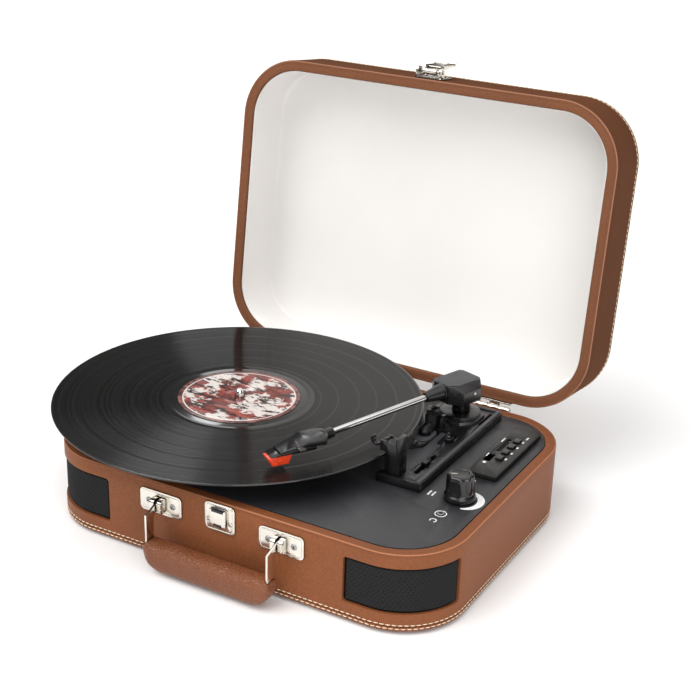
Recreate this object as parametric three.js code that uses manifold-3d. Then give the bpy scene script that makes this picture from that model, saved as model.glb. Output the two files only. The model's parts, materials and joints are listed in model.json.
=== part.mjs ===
// Suitcase record player: a leatherette case with an open lid, corner speakers, a belt-driven platter
// with a 12-inch record, a lifting tonearm, a control deck and nickel case hardware.
// Millimetres, +Z up. The case is laid out about the centre of its underside: X runs along the front,
// Y towards the hinges. The finished group is then moved so that its box stands centred on z = 0.
import * as THREE from 'three';
import { mergeVertices } from 'three/addons/utils/BufferGeometryUtils.js';
import Module from 'manifold-3d';

const wasm = await Module();
wasm.setup();

const RAD = Math.PI / 180;

// ---------------------------------------------------------------- driving dimensions
const CASE = { width: 352, depth: 258, radius: 53, wall: 9, height: 62.5, lidDepth: 54, lidGap: 0.5 };
const LID_OPEN_DEG = 97.7;
const HINGE = { x: 98.7, y: 135, z: 60, width: 30, barrel: 3 };
const FOOT = { radius: 10, height: 3, x: 138, y: 92 };
const PLINTH = { thickness: 3, gap: 0.3 };
const PLATTER = { x: -66, y: -6, radius: 98.5, bottom: 66, top: 79 };
const BELT = { ring: 72, pulley: 5, centres: 84, bearing: 120, gap: 0.3, thickness: 1 };
const RECORD = { radius: 151, bottom: 81.5, top: 83.3, label: 50 };
const SPINDLE = { radius: 3.6, bottom: 50, top: 90.5 };
const DECK = { right: 117, front: -38, back: 111, top: 69.5, arc: 149 };
const ARM = { x: 91, y: 86, axis: 98.5, neck: 96, heading: 251.5 };
const TUBE = { radius: 2.5, end: 148 };
const HEAD = { offset: 150.5, turn: -14, tip: 83.9 };
const REST = { x0: 85.5, x1: 98, y0: -36, y1: -24, cradle: 95, wall: 94.5, top: 100 };
const CLIP = { x: 83.2, z: 94.5, openDeg: -150 };
const MODULE = { x0: 134.5, x1: 158, y0: 8, y1: 98, top: 66.5 };
const KNOB = { x: 146, y: -30, top: 84, base: 12, grip: 10.4 };
const JACK = { x: 144, y: -57, ring: 2.9, barrel: 2.6, hole: 1.8 };
const BUTTON = { x: 147.4, halfX: 2.6, halfY: 3.2, proud: 1.4 };
const BUTTONS = { button_previous: 39.5, button_play: 50.8, button_next: 62.1, button_mode: 73.4 };
const CUE = { y: 59, z: 76, x0: 76.5, x1: 85.5, pin: 1.5 };
const SPEAKER = { edge: 104, sweep: 80, z0: 14, z1: 51, recess: 3.2 };
const BRACKET = { x: 53.5, z: 46, pivotOut: 5.2, width: 38, height: 18.5, corner: 3.5 };
const GRIP = { half: 55.6, y: -145, depth: 18, z0: 0, z1: 23, corner: 17 };
const CATCH = { z: 49.5, width: 26.5, height: 23.5, corner: 4 };
const LATCH = { out: 6, z: 72, hookOut: 9.4, hookZ: 80, ear: 10.6 };
const INLET = { x: 120, z: 20 };
const SOCKETS = { x: 60, z: 22, apart: 14 };

const PLINTH_TOP = CASE.height;
const PLINTH_BOTTOM = PLINTH_TOP - PLINTH.thickness;
const LID_BOTTOM = CASE.height + CASE.lidGap;
const FRONT = -CASE.depth / 2;
const BACK = CASE.depth / 2;
const PLATE_Y = FRONT - 0.2;
const KNUCKLE = HINGE.width / 3;
const LID_TOP = LID_BOTTOM + CASE.lidDepth;
const ARC = { x: CASE.width / 2 - CASE.radius, y: FRONT + CASE.radius };

// ---------------------------------------------------------------- materials
function finish(color, roughness, metalness) {
  return { color, roughness, metalness };
}
const LEATHER = finish(0x96583a, 0.55, 0);
const BLACK = finish(0x141416, 0.45, 0);
const CHARCOAL = finish(0x35363a, 0.75, 0);
const CLOTH = finish(0x0d0d0e, 0.9, 0);
const NICKEL = finish(0xd8d2c4, 0.22, 1);
const CHROME = finish(0xe8e8ea, 0.1, 1);
const LINING = finish(0xf1eeea, 0.85, 0);
const VINYL = finish(0x0b0b0c, 0.25, 0);
const PAPER = finish(0x8c2f2b, 0.7, 0);
const PLATE = finish(0x3c3b38, 0.4, 0.6);
const RED = finish(0xd8452a, 0.4, 0);
const RUBBER = finish(0x1a1a1a, 0.9, 0);
const BOARD = finish(0x1d5a34, 0.6, 0);
const STEEL = finish(0x9a9a9c, 0.35, 1);

// ---------------------------------------------------------------- geometry helpers
function signedVolume(position, index) {
  const [a, b, c] = [new THREE.Vector3(), new THREE.Vector3(), new THREE.Vector3()];
  let sum = 0;
  for (let i = 0; i < index.length; i += 3) {
    a.fromBufferAttribute(position, index[i]);
    b.fromBufferAttribute(position, index[i + 1]);
    c.fromBufferAttribute(position, index[i + 2]);
    sum += a.dot(b.cross(c));
  }
  return sum / 6;
}

// A closed three.js geometry as a boolean solid, turned outward whichever way it was wound.
function solid(geometry) {
  const bare = geometry.clone();
  bare.deleteAttribute('normal');
  bare.deleteAttribute('uv');
  const merged = mergeVertices(bare, 1e-4);
  const index = [];
  const all = merged.index.array;
  for (let i = 0; i < all.length; i += 3) {
    const [a, b, c] = [all[i], all[i + 1], all[i + 2]];
    if (a !== b && b !== c && c !== a) index.push(a, b, c);
  }
  const position = merged.attributes.position;
  if (signedVolume(position, index) < 0) index.reverse();
  const mesh = new wasm.Mesh({
    numProp: 3,
    vertProperties: new Float32Array(position.array),
    triVerts: new Uint32Array(index),
  });
  mesh.merge();
  return new wasm.Manifold(mesh);
}

function join(...geometries) {
  return geometries.map(solid).reduce((sum, next) => sum.add(next));
}

// The first geometry (or solid) with all the others taken away.
function cut(base, ...tools) {
  const asSolid = (shape) => (shape instanceof THREE.BufferGeometry ? solid(shape) : shape);
  return tools.reduce((rest, tool) => rest.subtract(asSolid(tool)), asSolid(base));
}

function geometryOf(manifold) {
  const mesh = manifold.getMesh();
  const geometry = new THREE.BufferGeometry();
  geometry.setAttribute('position', new THREE.BufferAttribute(new Float32Array(mesh.vertProperties), 3));
  geometry.setIndex(new THREE.BufferAttribute(new Uint32Array(mesh.triVerts), 1));
  geometry.computeVertexNormals();
  return geometry;
}

function piece(parent, name, shape, look) {
  const manifold = shape instanceof THREE.BufferGeometry ? solid(shape) : shape;
  const mesh = new THREE.Mesh(geometryOf(manifold), new THREE.MeshStandardMaterial(look));
  mesh.name = name;
  parent.add(mesh);
  return mesh;
}

function group(parent, x = 0, y = 0, z = 0) {
  const child = new THREE.Group();
  child.position.set(x, y, z);
  parent.add(child);
  return child;
}

function block(x0, x1, y0, y1, z0, z1) {
  const box = new THREE.BoxGeometry(x1 - x0, y1 - y0, z1 - z0);
  return box.translate((x0 + x1) / 2, (y0 + y1) / 2, (z0 + z1) / 2);
}

// A round bar or cone from one point to another.
function rod(from, to, radius, endRadius = radius, segments = 20) {
  const start = new THREE.Vector3(...from);
  const span = new THREE.Vector3(...to).sub(start);
  const bar = new THREE.CylinderGeometry(endRadius, radius, span.length(), segments);
  const turn = new THREE.Quaternion().setFromUnitVectors(new THREE.Vector3(0, 1, 0), span.clone().normalize());
  return bar.applyQuaternion(turn).translate(...start.addScaledVector(span, 0.5).toArray());
}

function disc(x, y, z0, z1, radius, segments = 20) {
  return rod([x, y, z0], [x, y, z1], radius, radius, segments);
}

function outline(points) {
  return new THREE.Shape(points.map(([x, y]) => new THREE.Vector2(x, y)));
}

function roundedRect(width, depth, radius, x = 0, y = 0) {
  const shape = new THREE.Shape();
  const [hx, hy] = [width / 2 - radius, depth / 2 - radius];
  shape.absarc(x + hx, y - hy, radius, -90 * RAD, 0, false);
  shape.absarc(x + hx, y + hy, radius, 0, 90 * RAD, false);
  shape.absarc(x - hx, y + hy, radius, 90 * RAD, 180 * RAD, false);
  shape.absarc(x - hx, y - hy, radius, 180 * RAD, 270 * RAD, false);
  return shape;
}

function prismZ(shape, z0, z1, steps = 6) {
  const options = { depth: z1 - z0, bevelEnabled: false, curveSegments: steps };
  return new THREE.ExtrudeGeometry(shape, options).translate(0, 0, z0);
}

// A shape drawn in (y, z), drawn out along X.
function prismX(shape, x0, x1, steps = 6) {
  const axes = new THREE.Matrix4().makeBasis(
    new THREE.Vector3(0, 1, 0), new THREE.Vector3(0, 0, 1), new THREE.Vector3(1, 0, 0));
  return prismZ(shape, x0, x1, steps).applyMatrix4(axes);
}

// A shape drawn in (x, z), drawn out along Y.
function prismY(shape, y0, y1, steps = 6) {
  return prismZ(shape, -y1, -y0, steps).rotateX(90 * RAD);
}

// A profile of (radius, z) points turned about a vertical axis; a profile off the axis is closed on itself.
function turned(profile, x, y, segments = 48) {
  const points = profile.map(([r, z]) => new THREE.Vector2(r, z));
  if (profile[0][0] > 0) points.push(points[0].clone());
  return new THREE.LatheGeometry(points, segments).rotateX(90 * RAD).translate(x, y, 0);
}

function mirroredX(geometry) {
  return geometry.clone().scale(-1, 1, 1);
}

// ---------------------------------------------------------------- case
const player = new THREE.Group();
const base = group(player);

function caseOutline(inset) {
  return roundedRect(CASE.width - 2 * inset, CASE.depth - 2 * inset, CASE.radius - inset);
}

// The band that wraps the front corner between two depths below the case's outer face.
function cornerBand(outer, inner, margin) {
  const end = (-90 + SPEAKER.sweep) * RAD - margin / CASE.radius;
  const start = SPEAKER.edge + margin;
  const shape = new THREE.Shape();
  shape.moveTo(start, FRONT + outer);
  shape.lineTo(ARC.x, FRONT + outer);
  shape.absarc(ARC.x, ARC.y, CASE.radius - outer, -90 * RAD, end, false);
  shape.absarc(ARC.x, ARC.y, CASE.radius - inner, end, -90 * RAD, true);
  shape.lineTo(start, FRONT + inner);
  return shape;
}

// A point at a distance from the corner's centre, on the line that leaves the corner at 45 degrees.
function diagonal(distance, z) {
  return [ARC.x + distance * Math.SQRT1_2, ARC.y - distance * Math.SQRT1_2, z];
}

function baseShell() {
  const ring = cut(prismZ(caseOutline(0), 0, CASE.height), prismZ(caseOutline(CASE.wall), -1, CASE.height + 1));
  const ledge = cut(
    prismZ(caseOutline(CASE.wall - 0.5), PLINTH_BOTTOM - 5, PLINTH_BOTTOM - 0.3),
    prismZ(caseOutline(CASE.wall + 4), 0, CASE.height));
  const middle = (SPEAKER.z0 + SPEAKER.z1) / 2;
  const recess = prismZ(cornerBand(-1, SPEAKER.recess, 0), SPEAKER.z0, SPEAKER.z1);
  const port = rod(diagonal(38, middle), diagonal(56, middle), 15);
  const inlet = rod([INLET.x, BACK - 12, INLET.z], [INLET.x, BACK + 2, INLET.z], 5.8);
  const wires = block(SOCKETS.x - 12, SOCKETS.x + 12, BACK - 12, BACK + 2, SOCKETS.z - 5, SOCKETS.z + 5);
  return cut(ring.add(ledge), recess, mirroredX(recess), port, mirroredX(port), inlet, wires);
}
piece(base, 'base_shell', baseShell(), LEATHER);
piece(base, 'bottom_panel', prismZ(caseOutline(CASE.wall + PLINTH.gap), 0, 4), CHARCOAL);

for (const [depthwise, sy] of [['front', -1], ['back', 1]]) {
  for (const [sideways, sx] of [['left', -1], ['right', 1]]) {
    const [x, y] = [sx * FOOT.x, sy * FOOT.y];
    const foot = rod([x, y, -0.1], [x, y, -FOOT.height], FOOT.radius, FOOT.radius - 1);
    piece(base, `foot_${depthwise}_${sideways}`, foot, RUBBER);
  }
}

function speakerGrille() {
  return prismZ(cornerBand(0.2, SPEAKER.recess - 0.3, 0.25), SPEAKER.z0 + 0.25, SPEAKER.z1 - 0.25);
}

// A round driver behind the corner: a gasket that fits the curved wall, then basket and magnet.
function speakerDriver() {
  const z = (SPEAKER.z0 + SPEAKER.z1) / 2;
  const curve = disc(ARC.x, ARC.y, 0, CASE.height, CASE.radius - CASE.wall - 0.4, 48);
  const gasket = solid(rod(diagonal(32, z), diagonal(46, z), 20, 20, 24)).intersect(solid(curve));
  const basket = join(
    rod(diagonal(20, z), diagonal(32.5, z), 11, 19, 24),
    rod(diagonal(10, z), diagonal(20.5, z), 14, 14, 24));
  return cut(gasket.add(basket), rod(diagonal(27, z), diagonal(48, z), 5, 15.5, 24));
}
const grille = speakerGrille();
piece(base, 'speaker_grille_right', grille, CLOTH);
piece(base, 'speaker_grille_left', mirroredX(grille), CLOTH);
const driver = geometryOf(speakerDriver());
piece(base, 'speaker_driver_right', driver, BLACK);
piece(base, 'speaker_driver_left', mirroredX(driver), BLACK);

// ---------------------------------------------------------------- plinth and drive
const pulleyX = PLATTER.x + BELT.centres * Math.cos(BELT.bearing * RAD);
const pulleyY = PLATTER.y + BELT.centres * Math.sin(BELT.bearing * RAD);

function plinth() {
  const through = (x, y, radius) => disc(x, y, PLINTH_BOTTOM - 1, PLINTH_TOP + 1, radius);
  return cut(
    prismZ(caseOutline(CASE.wall + PLINTH.gap), PLINTH_BOTTOM, PLINTH_TOP),
    through(PLATTER.x, PLATTER.y, 8.3), through(pulleyX, pulleyY, 4), through(ARM.x, ARM.y, 5),
    through(KNOB.x, KNOB.y, 4.2), through(JACK.x, JACK.y, JACK.barrel + 0.2),
    block(MODULE.x0 + 3, MODULE.x1 - 3, MODULE.y0 + 3, MODULE.y1 - 3, PLINTH_BOTTOM - 1, PLINTH_TOP + 1));
}
piece(base, 'plinth', plinth(), CHARCOAL);

const bearing = [[SPINDLE.radius + 0.1, SPINDLE.bottom], [12, SPINDLE.bottom], [12, 58.8], [8, 58.8], [8, 65.4],
  [SPINDLE.radius + 0.1, 65.4]];
piece(base, 'platter_bearing', turned(bearing, PLATTER.x, PLATTER.y, 20), STEEL);
const spindleTip = [[0, SPINDLE.bottom], [SPINDLE.radius, SPINDLE.bottom], [SPINDLE.radius, 87.5],
  [3, 89.4], [1.7, 90.3], [0, SPINDLE.top]];
piece(base, 'spindle', turned(spindleTip, PLATTER.x, PLATTER.y, 20), CHROME);
piece(base, 'motor', cut(disc(pulleyX, pulleyY, 34, 58.8, 18, 24), disc(pulleyX, pulleyY, 44, 60, 1.6)), STEEL);

// The belt's outline: two round ends joined by their outside tangents.
function beltOutline(outset) {
  const [big, small] = [BELT.ring + outset, BELT.pulley + outset];
  const tangent = Math.acos((big - small) / BELT.centres);
  const toPulley = BELT.bearing * RAD;
  const shape = new THREE.Shape();
  shape.absarc(pulleyX, pulleyY, small, toPulley - tangent, toPulley + tangent, false);
  shape.absarc(PLATTER.x, PLATTER.y, big, toPulley + tangent, toPulley + 2 * Math.PI - tangent, false);
  return shape;
}
const belt = cut(
  prismZ(beltOutline(BELT.gap + BELT.thickness), 68.5, 72, 16),
  prismZ(beltOutline(BELT.gap), 60, 80, 16));
piece(base, 'drive_belt', belt, RUBBER);

function circuitBoard() {
  const chips = [[124, 134, -10, 4], [140, 156, 20, 34], [122, 130, 40, 60], [140, 150, 50, 62]];
  return join(
    block(116, 162, -20, 84, 40, 41.6),
    ...chips.map(([x0, x1, y0, y1]) => block(x0, x1, y0, y1, 41, 45)));
}
piece(base, 'circuit_board', circuitBoard(), BOARD);

const platterSpin = group(player, PLATTER.x, PLATTER.y);
const [platterBore, skirt, underside] = [SPINDLE.radius + 0.3, PLATTER.radius - 3.5, 74];
const platter = [[platterBore, PLATTER.bottom], [14, PLATTER.bottom], [14, underside],
  [BELT.ring - 3, underside], [BELT.ring - 3, 67], [BELT.ring, 67], [BELT.ring, underside],
  [skirt, underside], [skirt, PLATTER.bottom], [PLATTER.radius, PLATTER.bottom],
  [PLATTER.radius, PLATTER.top], [platterBore, PLATTER.top]];
piece(platterSpin, 'platter', turned(platter, 0, 0, 40), BLACK);
const mat = [[4.2, 79.1], [PLATTER.radius - 2, 79.1], [PLATTER.radius - 2, 81.3], [4.2, 81.3]];
piece(platterSpin, 'platter_mat', turned(mat, 0, 0, 40), RUBBER);
const vinyl = [[3.9, RECORD.bottom], [150.2, RECORD.bottom], [RECORD.radius, 82], [RECORD.radius, 82.8],
  [150.2, RECORD.top], [RECORD.label + 0.8, RECORD.top], [RECORD.label + 0.8, 83], [3.9, 83]];
piece(platterSpin, 'record_disc', turned(vinyl, 0, 0, 48), VINYL);
const label = [[3.9, 83.1], [RECORD.label, 83.1], [RECORD.label, 83.4], [3.9, 83.4]];
piece(platterSpin, 'record_label', turned(label, 0, 0, 40), PAPER);

const pulleySpin = group(player, pulleyX, pulleyY);
const pulley = [[0, 46], [1.3, 46], [1.3, 66.3], [6, 66.3], [6, 67.6], [BELT.pulley, 68], [BELT.pulley, 72.4],
  [6, 72.8], [6, 73.6], [0, 73.6]];
piece(pulleySpin, 'motor_pulley', turned(pulley, 0, 0, 16), STEEL);

// ---------------------------------------------------------------- tonearm deck
// The deck's left side follows the record, so that the record can overhang the case.
function deckOutline() {
  const angleAt = (y) => Math.asin((y - PLATTER.y) / DECK.arc);
  const shape = new THREE.Shape();
  shape.moveTo(DECK.right, DECK.front);
  shape.lineTo(DECK.right, DECK.back);
  shape.lineTo(66, DECK.back);
  shape.absarc(PLATTER.x, PLATTER.y, DECK.arc, angleAt(70), angleAt(DECK.front), true);
  return shape;
}

function stadium(x, y0, y1, radius) {
  return roundedRect(2 * radius, y1 - y0, radius - 0.01, x, (y0 + y1) / 2);
}

function tonearmDeck() {
  const body = join(
    prismZ(deckOutline(), PLINTH_TOP + 0.1, DECK.top, 8),
    rod([0, 0, 69], [0, 0, 72], 19.6, 19, 8).rotateZ(22.5 * RAD).translate(ARM.x, ARM.y, 0),
    disc(ARM.x, ARM.y, 71, 75, 16, 28),
    block(CUE.x0 - 3, CUE.x0 - 0.3, 55, 63, 66, 79),
    block(CUE.x1 + 0.3, CUE.x1 + 3, 55, 63, 66, 79));
  const work = outline([[83.5, -22], [101, -22], [101, 33], [96, 33], [96, 54], [89, 54], [89, 22], [80, 12]]);
  return cut(
    body,
    prismZ(work, 67.4, 80),
    prismZ(stadium(81, 26, 54, 8.4), 67, 70),
    disc(ARM.x, ARM.y, 60, 80, 4.5),
    prismZ(stadium(105.5, -24, 12, 2), 64, 80),
    block(100.2, 106, 36, 52, 64, 80),
    prismZ(stadium(111.5, 78, 103, 1.6), 66, 80),
    rod([70, CUE.y, CUE.z], [92, CUE.y, CUE.z], CUE.pin + 0.3));
}
piece(base, 'tonearm_deck', tonearmDeck(), BLACK);

function armRest() {
  const post = join(
    block(REST.x0, REST.x1, REST.y0, REST.y1, DECK.top + 0.1, REST.cradle),
    block(REST.wall, REST.x1, REST.y0, REST.y1, REST.cradle - 1, REST.top),
    block(CLIP.x - 2, REST.x0 + 1, REST.y0, REST.y0 + 1.8, 88, CLIP.z + 1.8),
    block(CLIP.x - 2, REST.x0 + 1, REST.y1 - 1.8, REST.y1, 88, CLIP.z + 1.8),
    rod([CLIP.x, REST.y0 + 0.5, CLIP.z], [CLIP.x, REST.y1 - 0.5, CLIP.z], 0.8, 0.8, 12));
  return post;
}
piece(base, 'arm_rest', armRest(), BLACK);

// The clip is drawn closed over the parked tube, then hangs open beside the rest.
const clipSwing = group(player, CLIP.x, 0, CLIP.z);
clipSwing.rotation.y = CLIP.openDeg * RAD;
function restClip() {
  const [tubeX, tubeZ] = [89 - CLIP.x, ARM.axis - CLIP.z];
  const strap = new THREE.Shape();
  strap.moveTo(-1.2, 0);
  strap.lineTo(tubeX - 4.9, tubeZ);
  strap.absarc(tubeX, tubeZ, 4.9, 180 * RAD, 8 * RAD, true);
  strap.absarc(tubeX, tubeZ, 3.5, 8 * RAD, 172 * RAD, false);
  strap.lineTo(1.2, 0);
  const barrel = rod([0, REST.y0 + 2.1, 0], [0, REST.y1 - 2.1, 0], 2, 2, 20);
  const bore = rod([0, REST.y0, 0], [0, REST.y1, 0], 1.1, 1.1, 16);
  return cut(join(prismY(strap, -33, -27), barrel), bore);
}
piece(clipSwing, 'arm_rest_clip', restClip(), BLACK);

function cueLever() {
  const side = outline([[39, 70], [40, 72.6], [49, 75], [51, 86], [53, 87.5], [57, 87.5], [60.5, 80],
    [62, 78], [62, 74], [60, 72.6], [54, 71], [48, 69.8]]);
  return join(
    prismX(side, CUE.x0, CUE.x1),
    rod([CUE.x0 - 2.8, CUE.y, CUE.z], [CUE.x1 + 2.8, CUE.y, CUE.z], CUE.pin, CUE.pin, 16),
    disc(81, 40.5, 69.8, 73, 5.2));
}
const cueTurn = group(player);
piece(cueTurn, 'cue_lever', cueLever(), BLACK);

// A slide knob: a cap between two heights, on a stem that goes down through the deck.
function slideKnob(x, y, halfX, halfY, low, high) {
  return join(
    block(x - halfX, x + halfX, y - halfY, y + halfY, DECK.top + low, DECK.top + high),
    block(x - 1.4, x + 1.4, y - halfY + 1, y + halfY - 1, 65, DECK.top + 1));
}
piece(group(player), 'speed_switch', slideKnob(105.5, -5.5, 2.4, 4, 0.3, 3), BLACK);
piece(group(player), 'autostop_switch', slideKnob(103.1, 40.2, 2.4, 3.4, -1.6, 2.6), BLACK);

// ---------------------------------------------------------------- media module, knob and jack
function modulePanel() {
  const corner = 2;
  const [width, length] = [MODULE.x1 - MODULE.x0, MODULE.y1 - MODULE.y0];
  const [cx, cy] = [(MODULE.x0 + MODULE.x1) / 2, (MODULE.y0 + MODULE.y1) / 2];
  const well = (halfX, halfY, x, y) => block(x - halfX, x + halfX, y - halfY, y + halfY, 60, 70);
  return cut(
    prismZ(roundedRect(width, length, corner, cx, cy), PLINTH_TOP + 0.1, MODULE.top, 4),
    prismZ(roundedRect(width - 4, length - 4, 1, cx, cy), PLINTH_TOP - 1, MODULE.top - 1.6, 4),
    well(1.6, 12.5, 141, 62),
    well(2.8, 6.4, 139.4, 37),
    ...Object.values(BUTTONS).map((y) => well(BUTTON.halfX + 0.25, BUTTON.halfY + 0.25, BUTTON.x, y)));
}
piece(base, 'module_panel', modulePanel(), PLATE);

// The socket block under the panel holds the card slot and the memory-stick port.
function mediaSockets() {
  const body = block(137.8, 144.3, 28, 78, 56, MODULE.top - 1.8);
  return cut(body, block(139.6, 142.4, 50, 74, 58, 70), block(138.2, 141.8, 31, 43, 58, 70));
}
piece(base, 'media_sockets', mediaSockets(), STEEL);

for (const [name, y] of Object.entries(BUTTONS)) {
  const press = group(player, BUTTON.x, y, 0);
  const cap = join(
    block(-BUTTON.halfX, BUTTON.halfX, -BUTTON.halfY, BUTTON.halfY, 63.4, MODULE.top + BUTTON.proud),
    block(-1, 1, -1.4, 1.4, 59, 64));
  piece(press, name, cap, BLACK);
}

const knobTurn = group(player, KNOB.x, KNOB.y, 0);
const knobProfile = [[0, 52], [3, 52], [3, 63.6], [KNOB.base, 63.6], [KNOB.base, 67.5], [KNOB.base - 0.8, 70.5],
  [KNOB.grip, 72], [KNOB.grip - 0.5, KNOB.top - 1], [KNOB.grip - 1.5, KNOB.top], [0, KNOB.top]];
piece(knobTurn, 'volume_knob', turned(knobProfile, 0, 0, 28), BLACK);
const jackProfile = [[JACK.hole, 50], [JACK.barrel, 50], [JACK.barrel, PLINTH_TOP + 0.1],
  [JACK.ring, PLINTH_TOP + 0.1], [JACK.ring, PLINTH_TOP + 0.9], [JACK.hole, PLINTH_TOP + 0.9]];
piece(base, 'headphone_jack', turned(jackProfile, JACK.x, JACK.y, 16), STEEL);

// ---------------------------------------------------------------- tonearm
// Arm parts are drawn with local X from the pivot towards the head and local Y to the arm's left.
const armSwing = group(player, ARM.x, ARM.y, 0);
armSwing.rotation.z = ARM.heading * RAD;

function armTurret() {
  return join(
    disc(0, 0, 54, 76, 4, 24),
    disc(0, 0, 75.3, 86, 7.5, 24),
    rod([0, 0, 86], [0, 0, 90], 7.5, 5.5),
    block(-4, 4, -5.2, 5.2, 88, ARM.neck),
    rod([0, -5.2, ARM.neck], [0, 5.2, ARM.neck], 4),
    rod([0, -9, ARM.neck], [0, 9, ARM.neck], 1.5, 1.5, 16));
}
piece(armSwing, 'arm_turret', armTurret(), BLACK);

const armLift = group(armSwing, 0, 0, ARM.neck);
const liftFrame = group(armLift, 0, 0, -ARM.neck);

// The housing is a wide block with a ridged roof that tapers into a collar round the tube.
function armHousing() {
  const plan = outline([[-10, -9], [-3, -18], [17, -18], [25, -8], [25, 8], [17, 18], [-3, 18], [-10, 9]]);
  const section = outline([[-18.5, 90], [18.5, 90], [18.5, 100], [12, 105], [-12, 105], [-18.5, 100]]);
  const bulk = solid(prismZ(plan, 90, 105)).intersect(solid(prismX(section, -12, 26)));
  const collar = rod([24, 0, ARM.axis], [43, 0, ARM.axis], 7.2, 3.9, 20);
  return cut(
    bulk.add(solid(collar)),
    block(-8, 9, -5.8, 5.8, 80, 103),
    rod([0, -10.5, ARM.neck], [0, 10.5, ARM.neck], 1.9, 1.9, 20),
    rod([30, 0, ARM.axis], [50, 0, ARM.axis], TUBE.radius + 0.2));
}
piece(liftFrame, 'arm_housing', armHousing(), BLACK);
piece(liftFrame, 'arm_tube', rod([30.5, 0, ARM.axis], [TUBE.end, 0, ARM.axis], TUBE.radius), CHROME);

const head = group(liftFrame, HEAD.offset, 0, 0);
head.rotation.z = HEAD.turn * RAD;

function headshell() {
  const socket = solid(rod([-8.6, 0, ARM.axis], [0.6, 0, ARM.axis], 4.2, 4.2, 24).rotateZ(-HEAD.turn * RAD));
  const bore = solid(rod([-12, 0, ARM.axis], [-2.2, 0, ARM.axis], TUBE.radius + 0.2).rotateZ(-HEAD.turn * RAD));
  const side = outline([[-2, 96.6], [-2, 101.8], [17, 102.4], [24, 99.4], [40, 97.4], [40, 96.2],
    [24, 98.2], [22, 98.2]]);
  const plan = outline([[-2, -5], [3, -7], [19, -7], [40, -2], [40, 11], [19, 12], [3, 12], [-2, 5]]);
  const section = prismY(side, -12, 16);
  const shell = solid(section).intersect(solid(prismZ(plan, 90, 110)));
  const fingerLift = block(22, 27, 9, 17.5, 98.3, 99.3);
  return shell.add(socket).subtract(bore).add(solid(fingerLift));
}
piece(head, 'headshell', headshell(), BLACK);

function cartridge() {
  const side = outline([[10, 93.8], [10, 96.2], [20.5, 97.8], [24, 97.8], [40, 95.8], [47, 93.8]]);
  return prismY(side, -3, 10.5);
}
piece(head, 'cartridge', cartridge(), BLACK);

function stylus() {
  const side = outline([[30, 93.5], [49, 93.5], [45.5, 86.6], [32.5, 86.6]]);
  return join(
    prismY(side, -1, 9.5),
    rod([40, 4.2, HEAD.tip], [40, 4.2, 88], 0.3, 0.8, 12));
}
piece(head, 'stylus', stylus(), RED);

// ---------------------------------------------------------------- front hardware
function handleBracket(x) {
  const face = roundedRect(BRACKET.width, BRACKET.height, BRACKET.corner, x, BRACKET.z);
  const plate = prismY(face, PLATE_Y - 1.2, PLATE_Y, 4);
  const lug = (x0, x1) => prismX(roundedRect(8.4, 11, 3, PLATE_Y - 4.4, BRACKET.z), x0, x1, 4);
  const pivotY = PLATE_Y - BRACKET.pivotOut;
  return join(
    plate, lug(x - 5, x - 1.3), lug(x + 1.3, x + 5),
    rod([x - 3, pivotY, BRACKET.z], [x + 3, pivotY, BRACKET.z], 1.3, 1.3, 16));
}

const handleSwing = group(player);

// A flat strap with an eye round the bracket's pin; its tang is held inside the grip.
function handleBail(x) {
  const pivotY = PLATE_Y - BRACKET.pivotOut;
  const [outer, inner, tang] = [GRIP.y - 4.5, GRIP.y + 4.5, GRIP.z1 - 10];
  const strap = outline([[pivotY + 3.4, BRACKET.z], [pivotY - 1, BRACKET.z + 3.6], [outer, 44.5], [outer, tang],
    [inner, tang], [inner, 40.5]]);
  const eye = rod([x - 0.8, pivotY, BRACKET.z], [x + 0.8, pivotY, BRACKET.z], 3.7, 3.7, 20);
  return cut(join(prismX(strap, x - 0.8, x + 0.8), eye),
    rod([x - 2, pivotY, BRACKET.z], [x + 2, pivotY, BRACKET.z], 1.6, 1.6, 16));
}

// The grip is a fat padded bar: straight above, with big round lower corners.
function handleGrip() {
  const face = new THREE.Shape();
  face.moveTo(-GRIP.half + 2, GRIP.z1);
  face.absarc(-GRIP.half + 2, GRIP.z1 - 2, 2, 90 * RAD, 180 * RAD, false);
  face.absarc(-GRIP.half + GRIP.corner, GRIP.z0 + GRIP.corner, GRIP.corner, 180 * RAD, 270 * RAD, false);
  face.absarc(GRIP.half - GRIP.corner, GRIP.z0 + GRIP.corner, GRIP.corner, -90 * RAD, 0, false);
  face.absarc(GRIP.half - 2, GRIP.z1 - 2, 2, 0, 90 * RAD, false);
  const front = prismY(face, GRIP.y - GRIP.depth / 2, GRIP.y + GRIP.depth / 2, 8);
  const across = roundedRect(GRIP.depth, GRIP.z1 - GRIP.z0, 8, GRIP.y, (GRIP.z0 + GRIP.z1) / 2);
  const sausage = solid(front).intersect(solid(prismX(across, -GRIP.half - 1, GRIP.half + 1, 5)));
  const slot = (x) => block(x - 1.1, x + 1.1, GRIP.y - 4.8, GRIP.y + 4.8, GRIP.z1 - 10.4, GRIP.z1 + 5);
  return cut(sausage, slot(-BRACKET.x), slot(BRACKET.x));
}
for (const [side, x] of [['left', -BRACKET.x], ['right', BRACKET.x]]) {
  piece(base, `handle_bracket_${side}`, handleBracket(x), NICKEL);
  piece(handleSwing, `handle_bail_${side}`, handleBail(x), NICKEL);
}
piece(handleSwing, 'handle_grip', handleGrip(), LEATHER);

// The catch plate has a raised box whose lower edge the latch hook pulls on.
function catchPlate() {
  return join(
    prismY(roundedRect(CATCH.width, CATCH.height, CATCH.corner, 0, CATCH.z), PLATE_Y - 1.2, PLATE_Y, 4),
    block(-7, 7, PLATE_Y - 4.2, PLATE_Y - 1, 44.5, 57.5));
}
piece(base, 'catch_plate', catchPlate(), NICKEL);

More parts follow.
